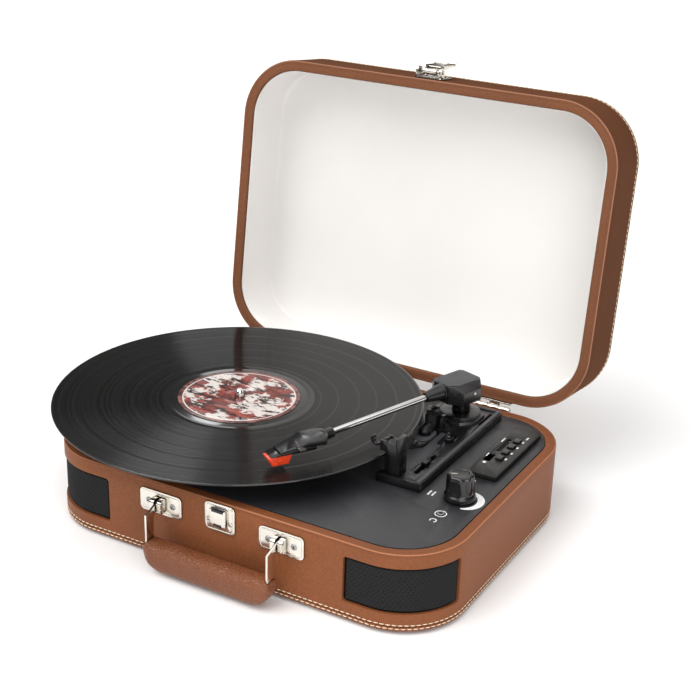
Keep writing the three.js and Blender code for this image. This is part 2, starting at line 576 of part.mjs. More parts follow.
// ---------------------------------------------------------------- rear sockets and hinges
const inletProfile = [[0, BACK - 12], [5.4, BACK - 12], [5.4, BACK + 0.2], [7, BACK + 0.2], [7, BACK + 1.4],
  [2.9, BACK + 1.4], [2.9, BACK - 8], [1, BACK - 8], [1, BACK - 0.5], [0, BACK - 0.5]];
const inlet = turned(inletProfile, 0, 0, 16).rotateX(-90 * RAD).translate(INLET.x, 0, INLET.z);
piece(base, 'dc_inlet', inlet, BLACK);

function rcaPlate() {
  const [y, z] = [BACK + 0.2, SOCKETS.z];
  const centres = [SOCKETS.x - SOCKETS.apart / 2, SOCKETS.x + SOCKETS.apart / 2];
  const plate = prismY(roundedRect(34, 18, 2, SOCKETS.x, z), y, y + 1.4, 4);
  const body = block(SOCKETS.x - 11, SOCKETS.x + 11, BACK - 8, y + 0.5, z - 4, z + 4);
  const sleeves = centres.map((x) => rod([x, y, z], [x, y + 9, z], 4.2, 4.2, 20));
  const bores = centres.map((x) => rod([x, y + 1.6, z], [x, y + 10, z], 1.9, 1.9, 16));
  return cut(join(plate, body, ...sleeves), ...bores);
}
piece(base, 'rca_socket_plate', rcaPlate(), BLACK);

const lid = group(player, 0, HINGE.y, HINGE.z);
lid.rotation.x = -LID_OPEN_DEG * RAD;
const lidFrame = group(lid, 0, -HINGE.y, -HINGE.z);

// Each hinge: a leaf on the base with two outer knuckles, a leaf on the lid with the middle one, and a pin.
function knuckle(x0, x1) {
  return rod([x0, HINGE.y, HINGE.z], [x1, HINGE.y, HINGE.z], HINGE.barrel, HINGE.barrel, 20);
}
function hingeBore(x) {
  return rod([x - 20, HINGE.y, HINGE.z], [x + 20, HINGE.y, HINGE.z], 1.4, 1.4, 16);
}

function baseLeaf(x) {
  const [left, right] = [x - HINGE.width / 2, x + HINGE.width / 2];
  const [gapLeft, gapRight] = [x - KNUCKLE / 2 - 0.2, x + KNUCKLE / 2 + 0.2];
  const parts = [[left, gapLeft], [gapRight, right]].flatMap(([x0, x1]) => [
    knuckle(x0, x1),
    block(x0, x1, BACK + 0.2, HINGE.y, HINGE.z - 1.6, HINGE.z - 0.2)]);
  const plate = block(left, right, BACK + 0.2, BACK + 1.4, 44, HINGE.z - 0.2);
  return cut(join(plate, ...parts), hingeBore(x), block(gapLeft, gapRight, BACK + 1.45, 140, 50, 64));
}

function lidLeaf(x) {
  const [x0, x1] = [x - KNUCKLE / 2 + 0.2, x + KNUCKLE / 2 - 0.2];
  const leaf = join(
    knuckle(x0, x1),
    block(x0, x1, BACK + 0.3, HINGE.y, HINGE.z + 1.6, HINGE.z + 2.9),
    block(x - HINGE.width / 2, x + HINGE.width / 2, BACK + 0.3, BACK + 1.5, HINGE.z + 1.6, 79));
  return cut(leaf, hingeBore(x));
}

for (const [side, x] of [['left', -HINGE.x], ['right', HINGE.x]]) {
  piece(base, `hinge_leaf_base_${side}`, baseLeaf(x), NICKEL);
  piece(lidFrame, `hinge_leaf_lid_${side}`, lidLeaf(x), NICKEL);
  const pin = rod([x - 15.4, HINGE.y, HINGE.z], [x + 15.4, HINGE.y, HINGE.z], 1.1, 1.1, 16);
  piece(base, `hinge_pin_${side}`, pin, STEEL);
}

// ---------------------------------------------------------------- lid
const lidShell = cut(
  prismZ(caseOutline(0), LID_BOTTOM, LID_TOP),
  prismZ(caseOutline(CASE.wall), LID_BOTTOM - 1, LID_TOP - 4));
piece(lidFrame, 'lid_shell', lidShell, LEATHER);
const lidLining = cut(
  prismZ(caseOutline(CASE.wall + 0.3), LID_BOTTOM + 0.8, LID_TOP - 4.3),
  prismZ(caseOutline(CASE.wall + 1.3), LID_BOTTOM - 1, LID_TOP - 5.3));
piece(lidFrame, 'lid_lining', lidLining, LINING);

function latchPlate() {
  const y = PLATE_Y - 0.1;
  const ear = (x) => prismX(roundedRect(8.6, 8.6, 3, y - 1 - 3.8, LATCH.z), x - 0.9, x + 0.9, 4);
  return cut(
    join(prismY(roundedRect(26.5, 22, 4, 0, 78), y - 1.2, y, 4), ear(-LATCH.ear), ear(LATCH.ear)),
    rod([-13, FRONT - LATCH.out, LATCH.z], [13, FRONT - LATCH.out, LATCH.z], 1.5, 1.5, 12));
}
piece(lidFrame, 'latch_plate', latchPlate(), NICKEL);

// Lever and hook are drawn from the lever's axle, in (outward, up) as seen from the side.
const latchTurn = group(lidFrame, 0, FRONT - LATCH.out, LATCH.z);
function latchLever() {
  const side = outline([[-0.8, 0], [-2.6, 7], [-6.6, 18.6], [-8.6, 19.4], [-8.2, 20.4], [-5.6, 19.8],
    [-1.2, 7.4], [0.8, 0]]);
  const [hookY, hookZ] = [LATCH.out - LATCH.hookOut, LATCH.hookZ - LATCH.z];
  return join(
    prismX(side, -5.6, 5.6),
    rod([-6, 0, 0], [6, 0, 0], 2.4, 2.4, 20),
    rod([-LATCH.ear - 1.4, 0, 0], [LATCH.ear + 1.4, 0, 0], 1.2, 1.2, 12),
    rod([-8.6, hookY, hookZ], [8.6, hookY, hookZ], 0.9, 0.9, 12));
}
piece(latchTurn, 'latch_lever', latchLever(), NICKEL);

const hookTurn = group(latchTurn, 0, LATCH.out - LATCH.hookOut, LATCH.hookZ - LATCH.z);
function latchHook() {
  const arm = outline([[-1.5, -2.2], [1.5, -2.2], [1.5, 4], [-0.4, 22.4], [-1.7, 22.4], [-1.5, 4]]);
  const arms = [[-8, -6.4], [6.4, 8]].map(([x0, x1]) => prismX(arm, x0, x1));
  return cut(
    join(...arms, block(-8, 8, -1.7, -0.4, 20.4, 24), rod([-8, -2.4, 24], [8, -2.4, 24], 1.5, 1.5, 16),
      block(-8, 8, -2.8, -0.4, 22.8, 24.6)),
    rod([-10, 0, 0], [10, 0, 0], 1.15, 1.15, 16));
}
piece(hookTurn, 'latch_hook', latchHook(), NICKEL);

// ---------------------------------------------------------------- stand the player on z = 0
const bounds = new THREE.Box3().setFromObject(player);
const centre = bounds.getCenter(new THREE.Vector3());
player.position.set(-centre.x, -centre.y, -bounds.min.z);
player.updateMatrixWorld(true);

export default player;
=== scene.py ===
import json
import math
import random

import bmesh
import bpy
from mathutils import Matrix, Vector


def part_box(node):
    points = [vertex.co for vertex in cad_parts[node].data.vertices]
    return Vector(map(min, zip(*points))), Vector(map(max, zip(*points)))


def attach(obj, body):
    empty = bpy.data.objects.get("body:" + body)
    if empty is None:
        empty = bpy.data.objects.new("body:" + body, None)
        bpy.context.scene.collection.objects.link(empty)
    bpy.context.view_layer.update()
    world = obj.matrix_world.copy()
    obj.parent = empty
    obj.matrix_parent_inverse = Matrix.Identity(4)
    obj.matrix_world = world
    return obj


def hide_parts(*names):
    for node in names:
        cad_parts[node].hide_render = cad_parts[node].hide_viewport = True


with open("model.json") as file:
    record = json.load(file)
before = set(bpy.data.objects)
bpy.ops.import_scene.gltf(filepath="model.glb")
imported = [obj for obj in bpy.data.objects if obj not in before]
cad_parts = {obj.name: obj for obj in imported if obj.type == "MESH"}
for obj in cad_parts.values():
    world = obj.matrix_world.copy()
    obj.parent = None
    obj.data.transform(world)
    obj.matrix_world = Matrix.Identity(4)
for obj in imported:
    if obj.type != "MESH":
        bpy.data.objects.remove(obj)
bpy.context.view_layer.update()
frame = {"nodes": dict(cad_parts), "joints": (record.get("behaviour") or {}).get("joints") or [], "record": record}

# The case is described in millimetres about the centre of its underside, as it stands when closed:
# X along the front, Y towards the hinges, Z up. TO_FRAME turns such a point into the frame's metres.
MM = 0.001
CASE_LOW, CASE_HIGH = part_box("base_shell")
ORIGIN = Vector(((CASE_LOW.x + CASE_HIGH.x) / 2, (CASE_LOW.y + CASE_HIGH.y) / 2, CASE_LOW.z))
JOINTS = {joint["name"]: joint for joint in frame["joints"]}
TO_FRAME = Matrix.Translation(ORIGIN) @ Matrix.Scale(MM, 4)

HALF_X, HALF_Y, CORNER = 176.0, 129.0, 53.0
CASE_TOP = 62.5
LID_RIM, LID_TOP = 63.0, 117.0
LID_OPEN = math.radians(97.7)
RIM_INSET = 9.0
PLATTER_X, PLATTER_Y = -66.0, -6.0
ARM_HEADING = math.radians(251.5)

CAMERA_PLACE, CAMERA_TARGET = (517.46, -870.6, 569.03), (-36.68, 124.8, 84.64)
CAMERA_LENS, CAMERA_SENSOR, CAMERA_ROLL = 72.18, 36, 0.03
KEY_FROM, KEY_POWER, KEY_SPREAD = (-0.42, -0.75, 1.0), 1.8, math.radians(50)
LAMPS = (  # name, place, target, width and height, watts
    ("fill", (1.3, -1.2, 0.7), (0.0, 0.05, 0.15), (1.2, 0.9), 13),
    ("streak_high", (-1.13, 1.07, 1.39), (-0.066, 0.0, 0.083), (0.3, 0.3), 2.2),
    ("streak_low", (-1.19, 1.57, 0.58), (-0.066, 0.0, 0.083), (0.25, 0.4), 0.5),
)

random.seed(12)


def at(x, y, z):
    return TO_FRAME @ Vector((x, y, z))


def millimetres_at(place):
    """Takes a shape drawn in millimetres about its own origin to a place in the frame."""
    return Matrix.Translation(place) @ Matrix.Scale(MM, 4)


def box_of(node):
    """A node's foot centre in the frame, and its half width, half depth and height in millimetres."""
    low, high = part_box(node)
    size = (high - low) / MM
    return Vector(((low.x + high.x) / 2, (low.y + high.y) / 2, low.z)), size.x / 2, size.y / 2, size.z


# The lid is drawn closed and then opened about its hinge line.
hinge = Vector(JOINTS["lid_hinge"]["pos_m"])
LID_FRAME = (Matrix.Translation(hinge) @ Matrix.Rotation(-LID_OPEN, 4, "X")
             @ Matrix.Translation(-hinge) @ TO_FRAME)


# ---- looks
class Look:
    """A procedural material, built round one Principled shader."""

    def __init__(self, name, **values):
        self.data = bpy.data.materials.new(name)
        self.data.use_nodes = True
        self.tree = self.data.node_tree
        self.shader = self.tree.nodes["Principled BSDF"]
        self.coords = self.tree.nodes.new("ShaderNodeTexCoord")
        self.set(**values)

    def put(self, socket, value):
        if isinstance(value, bpy.types.NodeSocket):
            self.tree.links.new(value, socket)
        elif socket.type == "RGBA" and len(value) == 3:
            socket.default_value = (*value, 1)
        else:
            socket.default_value = value

    def set(self, **values):
        for key, value in values.items():
            self.put(self.shader.inputs[key.replace("_", " ")], value)

    def node(self, kind, inputs, out=0, **settings):
        made = self.tree.nodes.new("ShaderNode" + kind)
        for key, value in settings.items():
            setattr(made, key, value)
        for key, value in inputs.items():
            self.put(made.inputs[key], value)
        return made.outputs[out]

    def math(self, operation, a, b=0.0):
        return self.node("Math", {0: a, 1: b}, operation=operation)

    def noise(self, scale, detail=2.0, roughness=0.5, vector=None):
        place = vector or self.coords.outputs["Object"]
        inputs = {"Vector": place, "Scale": scale, "Detail": detail, "Roughness": roughness}
        return self.node("TexNoise", inputs)

    def cells(self, scale, feature="F1"):
        place = self.coords.outputs["Object"]
        return self.node("TexVoronoi", {"Vector": place, "Scale": scale}, feature=feature)

    def remap(self, value, low, high, to_low, to_high):
        return self.node("MapRange", {0: value, 1: low, 2: high, 3: to_low, 4: to_high})

    def blend(self, factor, a, b):
        made = self.tree.nodes.new("ShaderNodeMix")
        made.data_type = "RGBA"
        for index, value in ((0, factor), (6, a), (7, b)):
            self.put(made.inputs[index], value)
        return made.outputs[2]

    def bump(self, height, strength, distance, under=None):
        inputs = {"Height": height, "Strength": strength, "Distance": distance}
        if under is not None:
            inputs["Normal"] = under
        return self.node("Bump", inputs)

    def attribute(self, name):
        return self.node("Attribute", {}, out=2, attribute_name=name)

    def radius(self):
        """The distance from the object's upright axis."""
        place = self.node("SeparateXYZ", {"Vector": self.coords.outputs["Object"]}).node
        x, y = place.outputs[0], place.outputs[1]
        return self.math("SQRT", self.math("ADD", self.math("MULTIPLY", x, x), self.math("MULTIPLY", y, y)))


def shade(color, factor):
    return tuple(channel * factor for channel in color)


def leather(name, color, gloss=0.5, grain_size=760, depth=0.00012, sheen=0.2):
    """Embossed leatherette: pebble grain, fine pores and slow colour drift. A vertex attribute lightens the outer
    edges, partly rubbed wear and partly a painted highlight, and darkens the welt grooves, the base's rim a
    little, and, on the lid, the side wall as painted shade.
    """
    look = Look(name, Specular_IOR_Level=sheen)
    drift = look.noise(14, 3)
    toned = look.blend(look.remap(drift, 0.3, 0.7, 0, 1), shade(color, 0.86), shade(color, 1.12))
    pores = look.noise(900, 2)
    pored = look.blend(look.remap(pores, 0.35, 0.6, 0.5, 0), toned, shade(color, 0.6))
    # Below 0 the vertex attribute darkens the colour: dark welt grooves, the base's rim a little, and painted
    # shade on the lid's side wall.
    seam = look.math("MAXIMUM", look.math("MULTIPLY", look.attribute("wear_and_painted_light"), -1.0), 0.0)
    seams_and_painted_shade = look.blend(look.math("MULTIPLY", seam, 0.8), pored, shade(color, 0.25))
    # Above 0 it lightens the colour: outer edges that are partly wear and partly a painted highlight, and a little
    # painted light on the lid's rim and top.
    wear_and_painted_highlight = look.math("MULTIPLY", look.math("MAXIMUM", look.attribute("wear_and_painted_light"), 0.0), 0.75)
    wear_and_painted_light = look.blend(wear_and_painted_highlight, seams_and_painted_shade, (color[0] * 1.9, color[1] * 2.4, color[2] * 3.2))
    grain = look.cells(grain_size, "DISTANCE_TO_EDGE")
    creases = look.remap(grain, 0.0, 0.22, 0, 1)
    pebbled = look.bump(creases, 0.42, depth)
    look.set(Base_Color=wear_and_painted_light, Roughness=look.remap(drift, 0.3, 0.7, gloss - 0.05, gloss + 0.07),
             Normal=look.bump(pores, 0.25, 0.0001, pebbled))
    return look.data


def plastic(name, color, roughness, grain=1500, depth=0.00006, strength=0.3, sheen=0.28):
    """Moulded plastic with a fine spark-eroded texture and uneven sheen, with painted shade: the sheen fades away
    in crevices and hollows.
    """
    look = Look(name)
    fine = look.noise(grain, 3, 0.6)
    cloud = look.noise(45, 3)
    # Painted shade: an ambient-occlusion node takes the specular sheen out of crevices and hollows.
    painted_shade_occlusion = look.node("AmbientOcclusion", {"Distance": 0.006}, out=1, samples=4)
    look.set(
        Specular_IOR_Level=look.remap(painted_shade_occlusion, 0.3, 0.95, 0, sheen),
        Base_Color=look.blend(look.remap(fine, 0.35, 0.7, 0, 1), shade(color, 0.72), shade(color, 1.3)),
        Roughness=look.remap(cloud, 0.3, 0.7, roughness - 0.06, roughness + 0.08),
        Normal=look.bump(fine, strength, depth),
    )
    return look.data


def metal(name, color, roughness, brushed=0.0, painted_shade_reach=0.0035):
    """Plated or bare metal: faint scratches and uneven polish, with painted shade that turns the colour nearly
    black in hollows.
    """
    look = Look(name, Metallic=1.0)
    cloud = look.noise(120, 3)
    stretch = look.node("Mapping", {"Vector": look.coords.outputs["Object"], "Scale": (1, 14, 1)})
    scratches = look.noise(500, 2, 0.6, stretch)
    polished = look.blend(look.remap(cloud, 0.35, 0.75, 0, 0.5), color, shade(color, 0.78))
    # Painted shade: an ambient-occlusion node blends the colour to nearly black in hollows and crevices.
    painted_shade_occlusion = look.node("AmbientOcclusion", {"Distance": painted_shade_reach}, out=1, samples=6)
    look.set(
        Base_Color=look.blend(look.remap(painted_shade_occlusion, 0.35, 0.85, 0, 1), shade(color, 0.03), polished),
        Roughness=look.remap(scratches, 0.3, 0.75, roughness, roughness + 0.1 + brushed),
        Normal=look.bump(scratches, 0.1 + brushed, 0.00002),
    )
    return look.data


def cloth_white():
    look = Look("white_lining", Roughness=0.75, Sheen_Weight=0.15)
    threads = look.noise(1300, 2)
    cloud = look.noise(9, 3)
    look.set(
        Base_Color=look.blend(look.remap(cloud, 0.3, 0.7, 0, 1), (0.785, 0.764, 0.742), (0.83, 0.811, 0.79)),
        Normal=look.bump(threads, 0.16, 0.00008),
    )
    return look.data


def speaker_cloth():
    """Woven cloth: the threads are in the mesh, the fibres in each thread are here. The colour is painted shade:
    near black in the low parts of the weave and toward the cloth's edges.
    """
    look = Look("speaker_cloth", Roughness=0.7, Specular_IOR_Level=0.12)
    fibres = look.noise(2400, 2)
    # Painted shade: the weave's low parts, and the cloth near its edges, go near black; the raised threads keep
    # the cloth's colour.
    raised = look.remap(look.attribute("thread"), 0.45, 1.0, 0, 1)
    look.set(
        Base_Color=look.blend(raised, (0.0008, 0.0008, 0.0008), (0.03, 0.03, 0.0315)),
        Normal=look.bump(fibres, 0.35, 0.00005),
    )
    return look.data


def vinyl_look():
    """Pressed vinyl: the sheen runs round the grooves, and quieter passages are a little smoother."""
    look = Look("pressed_vinyl")
    ring = look.node("CombineXYZ", {"X": look.radius()})
    passages = look.noise(260, 4, 0.65, ring)
    grooved = look.attribute("grooved")
    fine = look.noise(3800, 1, 0.5, ring)
    spread = look.remap(passages, 0.3, 0.7, 0.16, 0.22)
    tone = look.remap(passages, 0.35, 0.65, 0, 1)
    look.set(
        Base_Color=look.blend(tone, (0.003, 0.003, 0.003), (0.012, 0.0118, 0.0115)),
        IOR=look.remap(grooved, 0, 1, 1.58, 1.27),
        Roughness=look.math("MULTIPLY", spread, look.remap(grooved, 0, 1, 0.4, 1)),
        Anisotropic=grooved,
        Anisotropic_Rotation=0.25,
        Tangent=look.node("Tangent", {}, direction_type="RADIAL", axis="Z"),
        Normal=look.bump(fine, 0.03, 0.00002),
    )
    return look.data


def label_look():
    """A printed centre label: an abstract red, cream and black picture inside plain rings."""
    look = Look("printed_label", Roughness=0.24, Specular_IOR_Level=0.35)
    here = look.coords.outputs["Object"]
    radius = look.radius()
    offset = look.node("Mapping", {"Vector": here, "Location": (3, 5, 0)})
    strokes = look.node("Mapping", {"Vector": here, "Rotation": (0, 0, 0.6), "Scale": (0.5, 1.5, 1)})
    wash = look.remap(look.noise(90, 5, 0.7, strokes), 0.4, 0.62, 0, 1)
    red = look.blend(wash, (0.11, 0.016, 0.013), (0.34, 0.075, 0.055))
    pale = look.remap(look.noise(44, 5, 0.62, offset), 0.5, 0.53, 0, 1)
    inked = look.blend(pale, red, (0.62, 0.56, 0.53))
    ink = look.remap(look.noise(130, 5, 0.75, strokes), 0.445, 0.475, 1, 0)
    art = look.blend(ink, inked, (0.022, 0.012, 0.011))
    inner, outer = look.remap(radius, 0.0452, 0.0455, 0, 1), look.remap(radius, 0.0462, 0.0465, 1, 0)
    ring = look.math("MULTIPLY", inner, outer)
    mottle = look.remap(look.noise(150, 3), 0.4, 0.6, 0, 1)
    band = look.blend(mottle, (0.06, 0.02, 0.018), (0.24, 0.1, 0.085))
    printed = look.blend(look.remap(radius, 0.0456, 0.046, 0, 1), art, band)
    look.set(
        Base_Color=look.blend(ring, printed, (0.66, 0.58, 0.55)),
        Normal=look.bump(look.noise(1200), 0.1, 0.00005),
    )
    return look.data


LEATHER = leather("brown_leatherette", (0.232, 0.076, 0.028))
# The lid's leatherette is a darker copy of the base's: painted shade for the lid.
LEATHER_LID_SHADED = leather("brown_leatherette_lid_shaded", (0.186, 0.074, 0.037), 0.7, sheen=0.015)
LEATHER_GRIP = leather("brown_leatherette_grip", (0.20, 0.063, 0.023), 0.33, 400, 0.0013, 0.4)
THREAD = plastic("cream_thread", (0.84, 0.70, 0.52), 0.75, 2600)
LINING = cloth_white()
PLINTH = plastic("charcoal_plinth", (0.021, 0.0215, 0.0245), 0.38, 780, 0.0004, 0.75, 0.6)
BLACK = plastic("black_plastic", (0.0035, 0.0036, 0.004), 0.22, sheen=0.6)
DECK = plastic("deck_plastic", (0.0055, 0.0056, 0.0062), 0.24, 1700, 0.0001, 0.4, 0.62)
GLOSS = plastic("glossy_knob_plastic", (0.004, 0.0041, 0.0045), 0.2, 1500, 0.00001, 0.05, 0.6)
HOUSING = plastic("housing_plastic", (0.005, 0.0051, 0.0057), 0.25, 1700, 0.00008, 0.35, 0.65)
FLOOR_GREY = plastic("work_floor_grey", (0.045, 0.045, 0.049), 0.45, 1300, 0.0001, 0.4, 0.5)
PAD = plastic("grey_pad", (0.06, 0.061, 0.066), 0.6, 1200, 0.00012, 0.6, 0.5)
RUBBER = plastic("rubber", (0.014, 0.014, 0.014), 0.75, 900, 0.0001, 0.4)
PLATE = plastic("module_plate", (0.0085, 0.0084, 0.0078), 0.34, 1400, 0.00006, 0.35, 0.34)
RED = plastic("stylus_red", (0.80, 0.062, 0.016), 0.3, 900, sheen=0.5)
WHITE = plastic("white_print", (0.82, 0.82, 0.82), 0.5, 900)
PALE = plastic("pale_mark", (0.45, 0.42, 0.37), 0.5, 900)
BOARD = plastic("solder_mask", (0.016, 0.11, 0.045), 0.35, 600)
NICKEL = metal("nickel_plate", (0.80, 0.755, 0.68), 0.13)
# The latch's nickel carries painted shade that reaches further into its hollows.
NICKEL_DEEP_SHADE = metal("nickel_plate_latch", (0.76, 0.715, 0.64), 0.15, painted_shade_reach=0.009)
OXIDE = metal("black_oxide", (0.10, 0.10, 0.11), 0.22)
CHROME = metal("chrome", (0.84, 0.835, 0.83), 0.06)
STEEL = metal("plain_steel", (0.46, 0.46, 0.47), 0.3, 0.12)
CLOTH = speaker_cloth()
VINYL = vinyl_look()
LABEL = label_look()

# The looks of plain pieces, which take them from their CAD material slot.
LOOKS = {"black_plastic": BLACK, "circuit": BOARD, "nickel": NICKEL, "rubber": RUBBER, "steel": STEEL}
SLOTS = {part["node"]: part["material_slot"] for part in frame["record"]["subparts"]}
BODIES = {node: body for body, nodes in frame["record"]["behaviour"]["bodies"].items() for node in nodes}


# ---- mesh tools
def new_object(name, data):
    made = bpy.data.objects.new(name, data)
    bpy.context.scene.collection.objects.link(made)
    return made


def mesh_of(bm, name="shape"):
    bmesh.ops.recalc_face_normals(bm, faces=bm.faces)
    mesh = bpy.data.meshes.new(name)
    bm.to_mesh(mesh)
    bm.free()
    return mesh


def finish_piece(name, mesh, look, body, replaces=(), angle=32, location=None):
    """Links a mesh as a piece that rides on a body. With a location, the object's own origin is there."""
    if location is not None:
        mesh.transform(Matrix.Translation(-location))
    mesh.shade_smooth()
    mesh.set_sharp_from_angle(angle=math.radians(angle))
    mesh.materials.clear()
    mesh.materials.append(look)
    piece = new_object(name, mesh)
    if location is not None:
        piece.location = location
    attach(piece, body)
    if replaces:
        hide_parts(*replaces)
    return piece


def piece_from(name, bm, look, body, replaces=(), within=TO_FRAME, angle=32, location=None):
    bm.transform(within)
    finish_piece(name, mesh_of(bm, name), look, body, replaces, angle, location)


def evaluated(piece):
    """The piece's mesh with its modifiers applied."""
    graph = bpy.context.evaluated_depsgraph_get()
    return bpy.data.meshes.new_from_object(piece.evaluated_get(graph))


def refine(node, look=None, bevel=0.35, segments=2):
    """Stands in for a CAD node: flat faces are made whole again, edges get a moulded radius."""
    bm = bmesh.new()
    bm.from_mesh(frame["nodes"][node].data)
    bmesh.ops.remove_doubles(bm, verts=bm.verts, dist=1e-6)
    bmesh.ops.dissolve_limit(bm, angle_limit=math.radians(1.0), verts=bm.verts, edges=bm.edges)
    mesh = bpy.data.meshes.new(node + "_solid")
    bm.to_mesh(mesh)
    bm.free()
    holder = new_object("refining", mesh)
    if bevel:
        edge = holder.modifiers.new("edge", "BEVEL")
        edge.width = bevel * MM
        edge.segments = segments
        edge.limit_method = "ANGLE"
        edge.angle_limit = math.radians(28)
        edge.use_clamp_overlap = True
        edge.miter_outer = "MITER_ARC"
    shaped = evaluated(holder)
    bpy.data.objects.remove(holder)
    look = look or LOOKS[SLOTS[node]]
    finish_piece(node + "_detail", shaped, look, BODIES[node], (node,), 40)


def add_loop(bm, points):
    return [bm.verts.new(point) for point in points]


def bridge(bm, a, b, closed=True):
    count = len(a)
    for i in range(count if closed else count - 1):
        j = (i + 1) % count
        bm.faces.new((a[i], a[j], b[j], b[i]))


def skin(bm, loops):
    """Joins loops one after another and closes both ends."""
    for a, b in zip(loops, loops[1:]):
        bridge(bm, a, b)
    bm.faces.new(loops[0])
    bm.faces.new(loops[-1])


def circle(count):
    return [2 * math.pi * i / count for i in range(count)]


def mark(bm, layer_name, values):
    """Writes one number per vertex, in creation order, as a named float attribute."""
    layer = bm.verts.layers.float.new(layer_name)
    bm.verts.ensure_lookup_table()
    for vert, value in zip(bm.verts, values):
        vert[layer] = value


def corner_centres(half_x, half_y, radius):
    """The corner centres of a rounded rectangle, from the front right round to the front left."""
    x, y = half_x - radius, half_y - radius
    return [(x, -y), (x, y), (-x, y), (-x, -y)]


def rounded_path(half_x, half_y, radius, corner_steps, side_steps):
    """Corner centres and outward normals, point by point, round a rounded rectangle."""
    corners = corner_centres(half_x, half_y, radius)
    path = []
    for index, (cx, cy) in enumerate(corners):
        start = 90 * index - 90
        for step in range(corner_steps):
            angle = math.radians(start + 90 * step / corner_steps)
            path.append((cx, cy, math.cos(angle), math.sin(angle)))
        angle = math.radians(start + 90)
        nx, ny = corners[(index + 1) % 4]
        for step in range(side_steps):
            share = step / side_steps
            path.append((cx + (nx - cx) * share, cy + (ny - cy) * share, math.cos(angle), math.sin(angle)))
    return path


CASE_PATH = rounded_path(HALF_X, HALF_Y, CORNER, 24, 14)


def ring_points(path, radius, inset, z):
    return [(cx + nx * (radius - inset), cy + ny * (radius - inset), z) for cx, cy, nx, ny in path]


def case_loops(bm, profile):
    """One loop round the case for each (inset, z) of a section."""
    return [add_loop(bm, ring_points(CASE_PATH, CORNER, inset, z)) for inset, z in profile]


def close_ring(bm, loops):
    """Joins loops one after another and the last to the first."""
    for a, b in zip(loops, [*loops[1:], loops[0]]):
        bridge(bm, a, b)


def arc(cx, cy, radius, start, end, steps):
    """Points of an arc in (inset, z), angles in degrees."""
    turns = [math.radians(start + (end - start) * i / steps) for i in range(steps + 1)]
    return [(cx + radius * math.cos(turn), cy + radius * math.sin(turn)) for turn in turns]


def lathe(bm, profile, segments, closed=True):
    """Turns (radius, z) points about the Z axis. Points on the axis close to a single vertex."""
    loops = []
    for radius, z in profile:
        if radius < 1e-6:
            loops.append([bm.verts.new((0, 0, z))])
        else:
            ring = [(radius * math.cos(a), radius * math.sin(a), z) for a in circle(segments)]
            loops.append(add_loop(bm, ring))
    pairs = list(zip(loops, loops[1:]))
    if closed:
        pairs.append((loops[-1], loops[0]))
    for a, b in pairs:
        if len(a) == 1 and len(b) == 1:
            continue
        if len(a) == 1 or len(b) == 1:
            tip, ring = (a[0], b) if len(a) == 1 else (b[0], a)
            for i in range(segments):
                bm.faces.new((tip, ring[i], ring[(i + 1) % segments]))
        else:
            bridge(bm, a, b)
    return loops


def add_box(bm, x0, x1, y0, y1, z0, z1):
    size = Matrix.Diagonal((x1 - x0, y1 - y0, z1 - z0, 1))
    place = Matrix.Translation(((x0 + x1) / 2, (y0 + y1) / 2, (z0 + z1) / 2))
    return bmesh.ops.create_cube(bm, size=1, matrix=place @ size)["verts"]


def softened_box(bounds, edge):
    bm = bmesh.new()
    add_box(bm, *bounds)
    bevel_all(bm, edge)
    return bm


def add_mesh(bm, mesh, matrix):
    """Adds a copy of a mesh to bm, moved by a matrix."""
    before = len(bm.verts)
    bm.from_mesh(mesh)
    bm.verts.ensure_lookup_table()
    bmesh.ops.transform(bm, matrix=matrix, verts=bm.verts[before:])


def frame_of(place, outward, along=(0, 0, 1)):
    """A matrix whose Z points outward and whose X lies along the given direction."""
    z = Vector(outward).normalized()
    x = (Vector(along) - Vector(along).dot(z) * z).normalized()
    y = z.cross(x)
    turn = Matrix((x, y, z)).transposed().to_4x4()
    return Matrix.Translation(Vector(place)) @ turn


def bevel_all(bm, width):
    bmesh.ops.remove_doubles(bm, verts=bm.verts, dist=1e-5)
    bm.normal_update()
    edges = [e for e in bm.edges if e.calc_face_angle(0) > math.radians(30)]
    round_edges(bm, edges, width)


def round_edges(bm, edges, width):
    bmesh.ops.bevel(bm, geom=edges, offset=width, segments=2, affect="EDGES", profile=0.5,
                    clamp_overlap=True)


def cut_away(target, tools):
    """The target mesh with the tool meshes cut out of it."""
    holder = new_object("target", target)
    made = [new_object("tool", mesh) for mesh in tools]
    for tool in made:
        step = holder.modifiers.new("cut", "BOOLEAN")
        step.operation = "DIFFERENCE"
        step.solver = "EXACT"
        step.object = tool
    bpy.context.view_layer.update()
    result = evaluated(holder)
    for used in [holder, *made]:
        bpy.data.objects.remove(used)
    return result


# ---- small shared shapes
def screw_mesh(radius, height):
    """A domed head with a cross recess, standing on z = 0."""
    head = bmesh.new()
    dome = [(radius * math.sin(math.radians(a)), height * math.cos(math.radians(a)) ** 0.6)
            for a in (18, 36, 54, 70, 82)]
    lathe(head, [(0, height), *dome, (radius, 0), (radius, -0.15), (0, -0.15)], 28, closed=False)
    bars = []
    long, thin = radius * 0.62, radius * 0.12
    for x, y in ((long, thin), (thin, long)):
        bar = bmesh.new()
        add_box(bar, -x, x, -y, y, height * 0.35, height * 2)
        bars.append(mesh_of(bar))
    return cut_away(mesh_of(head), bars)


SCREW_BIG = screw_mesh(2.3, 0.7)
SCREW_SMALL = screw_mesh(1.75, 0.8)
SCREW_PLATE = screw_mesh(2.5, 0.9)


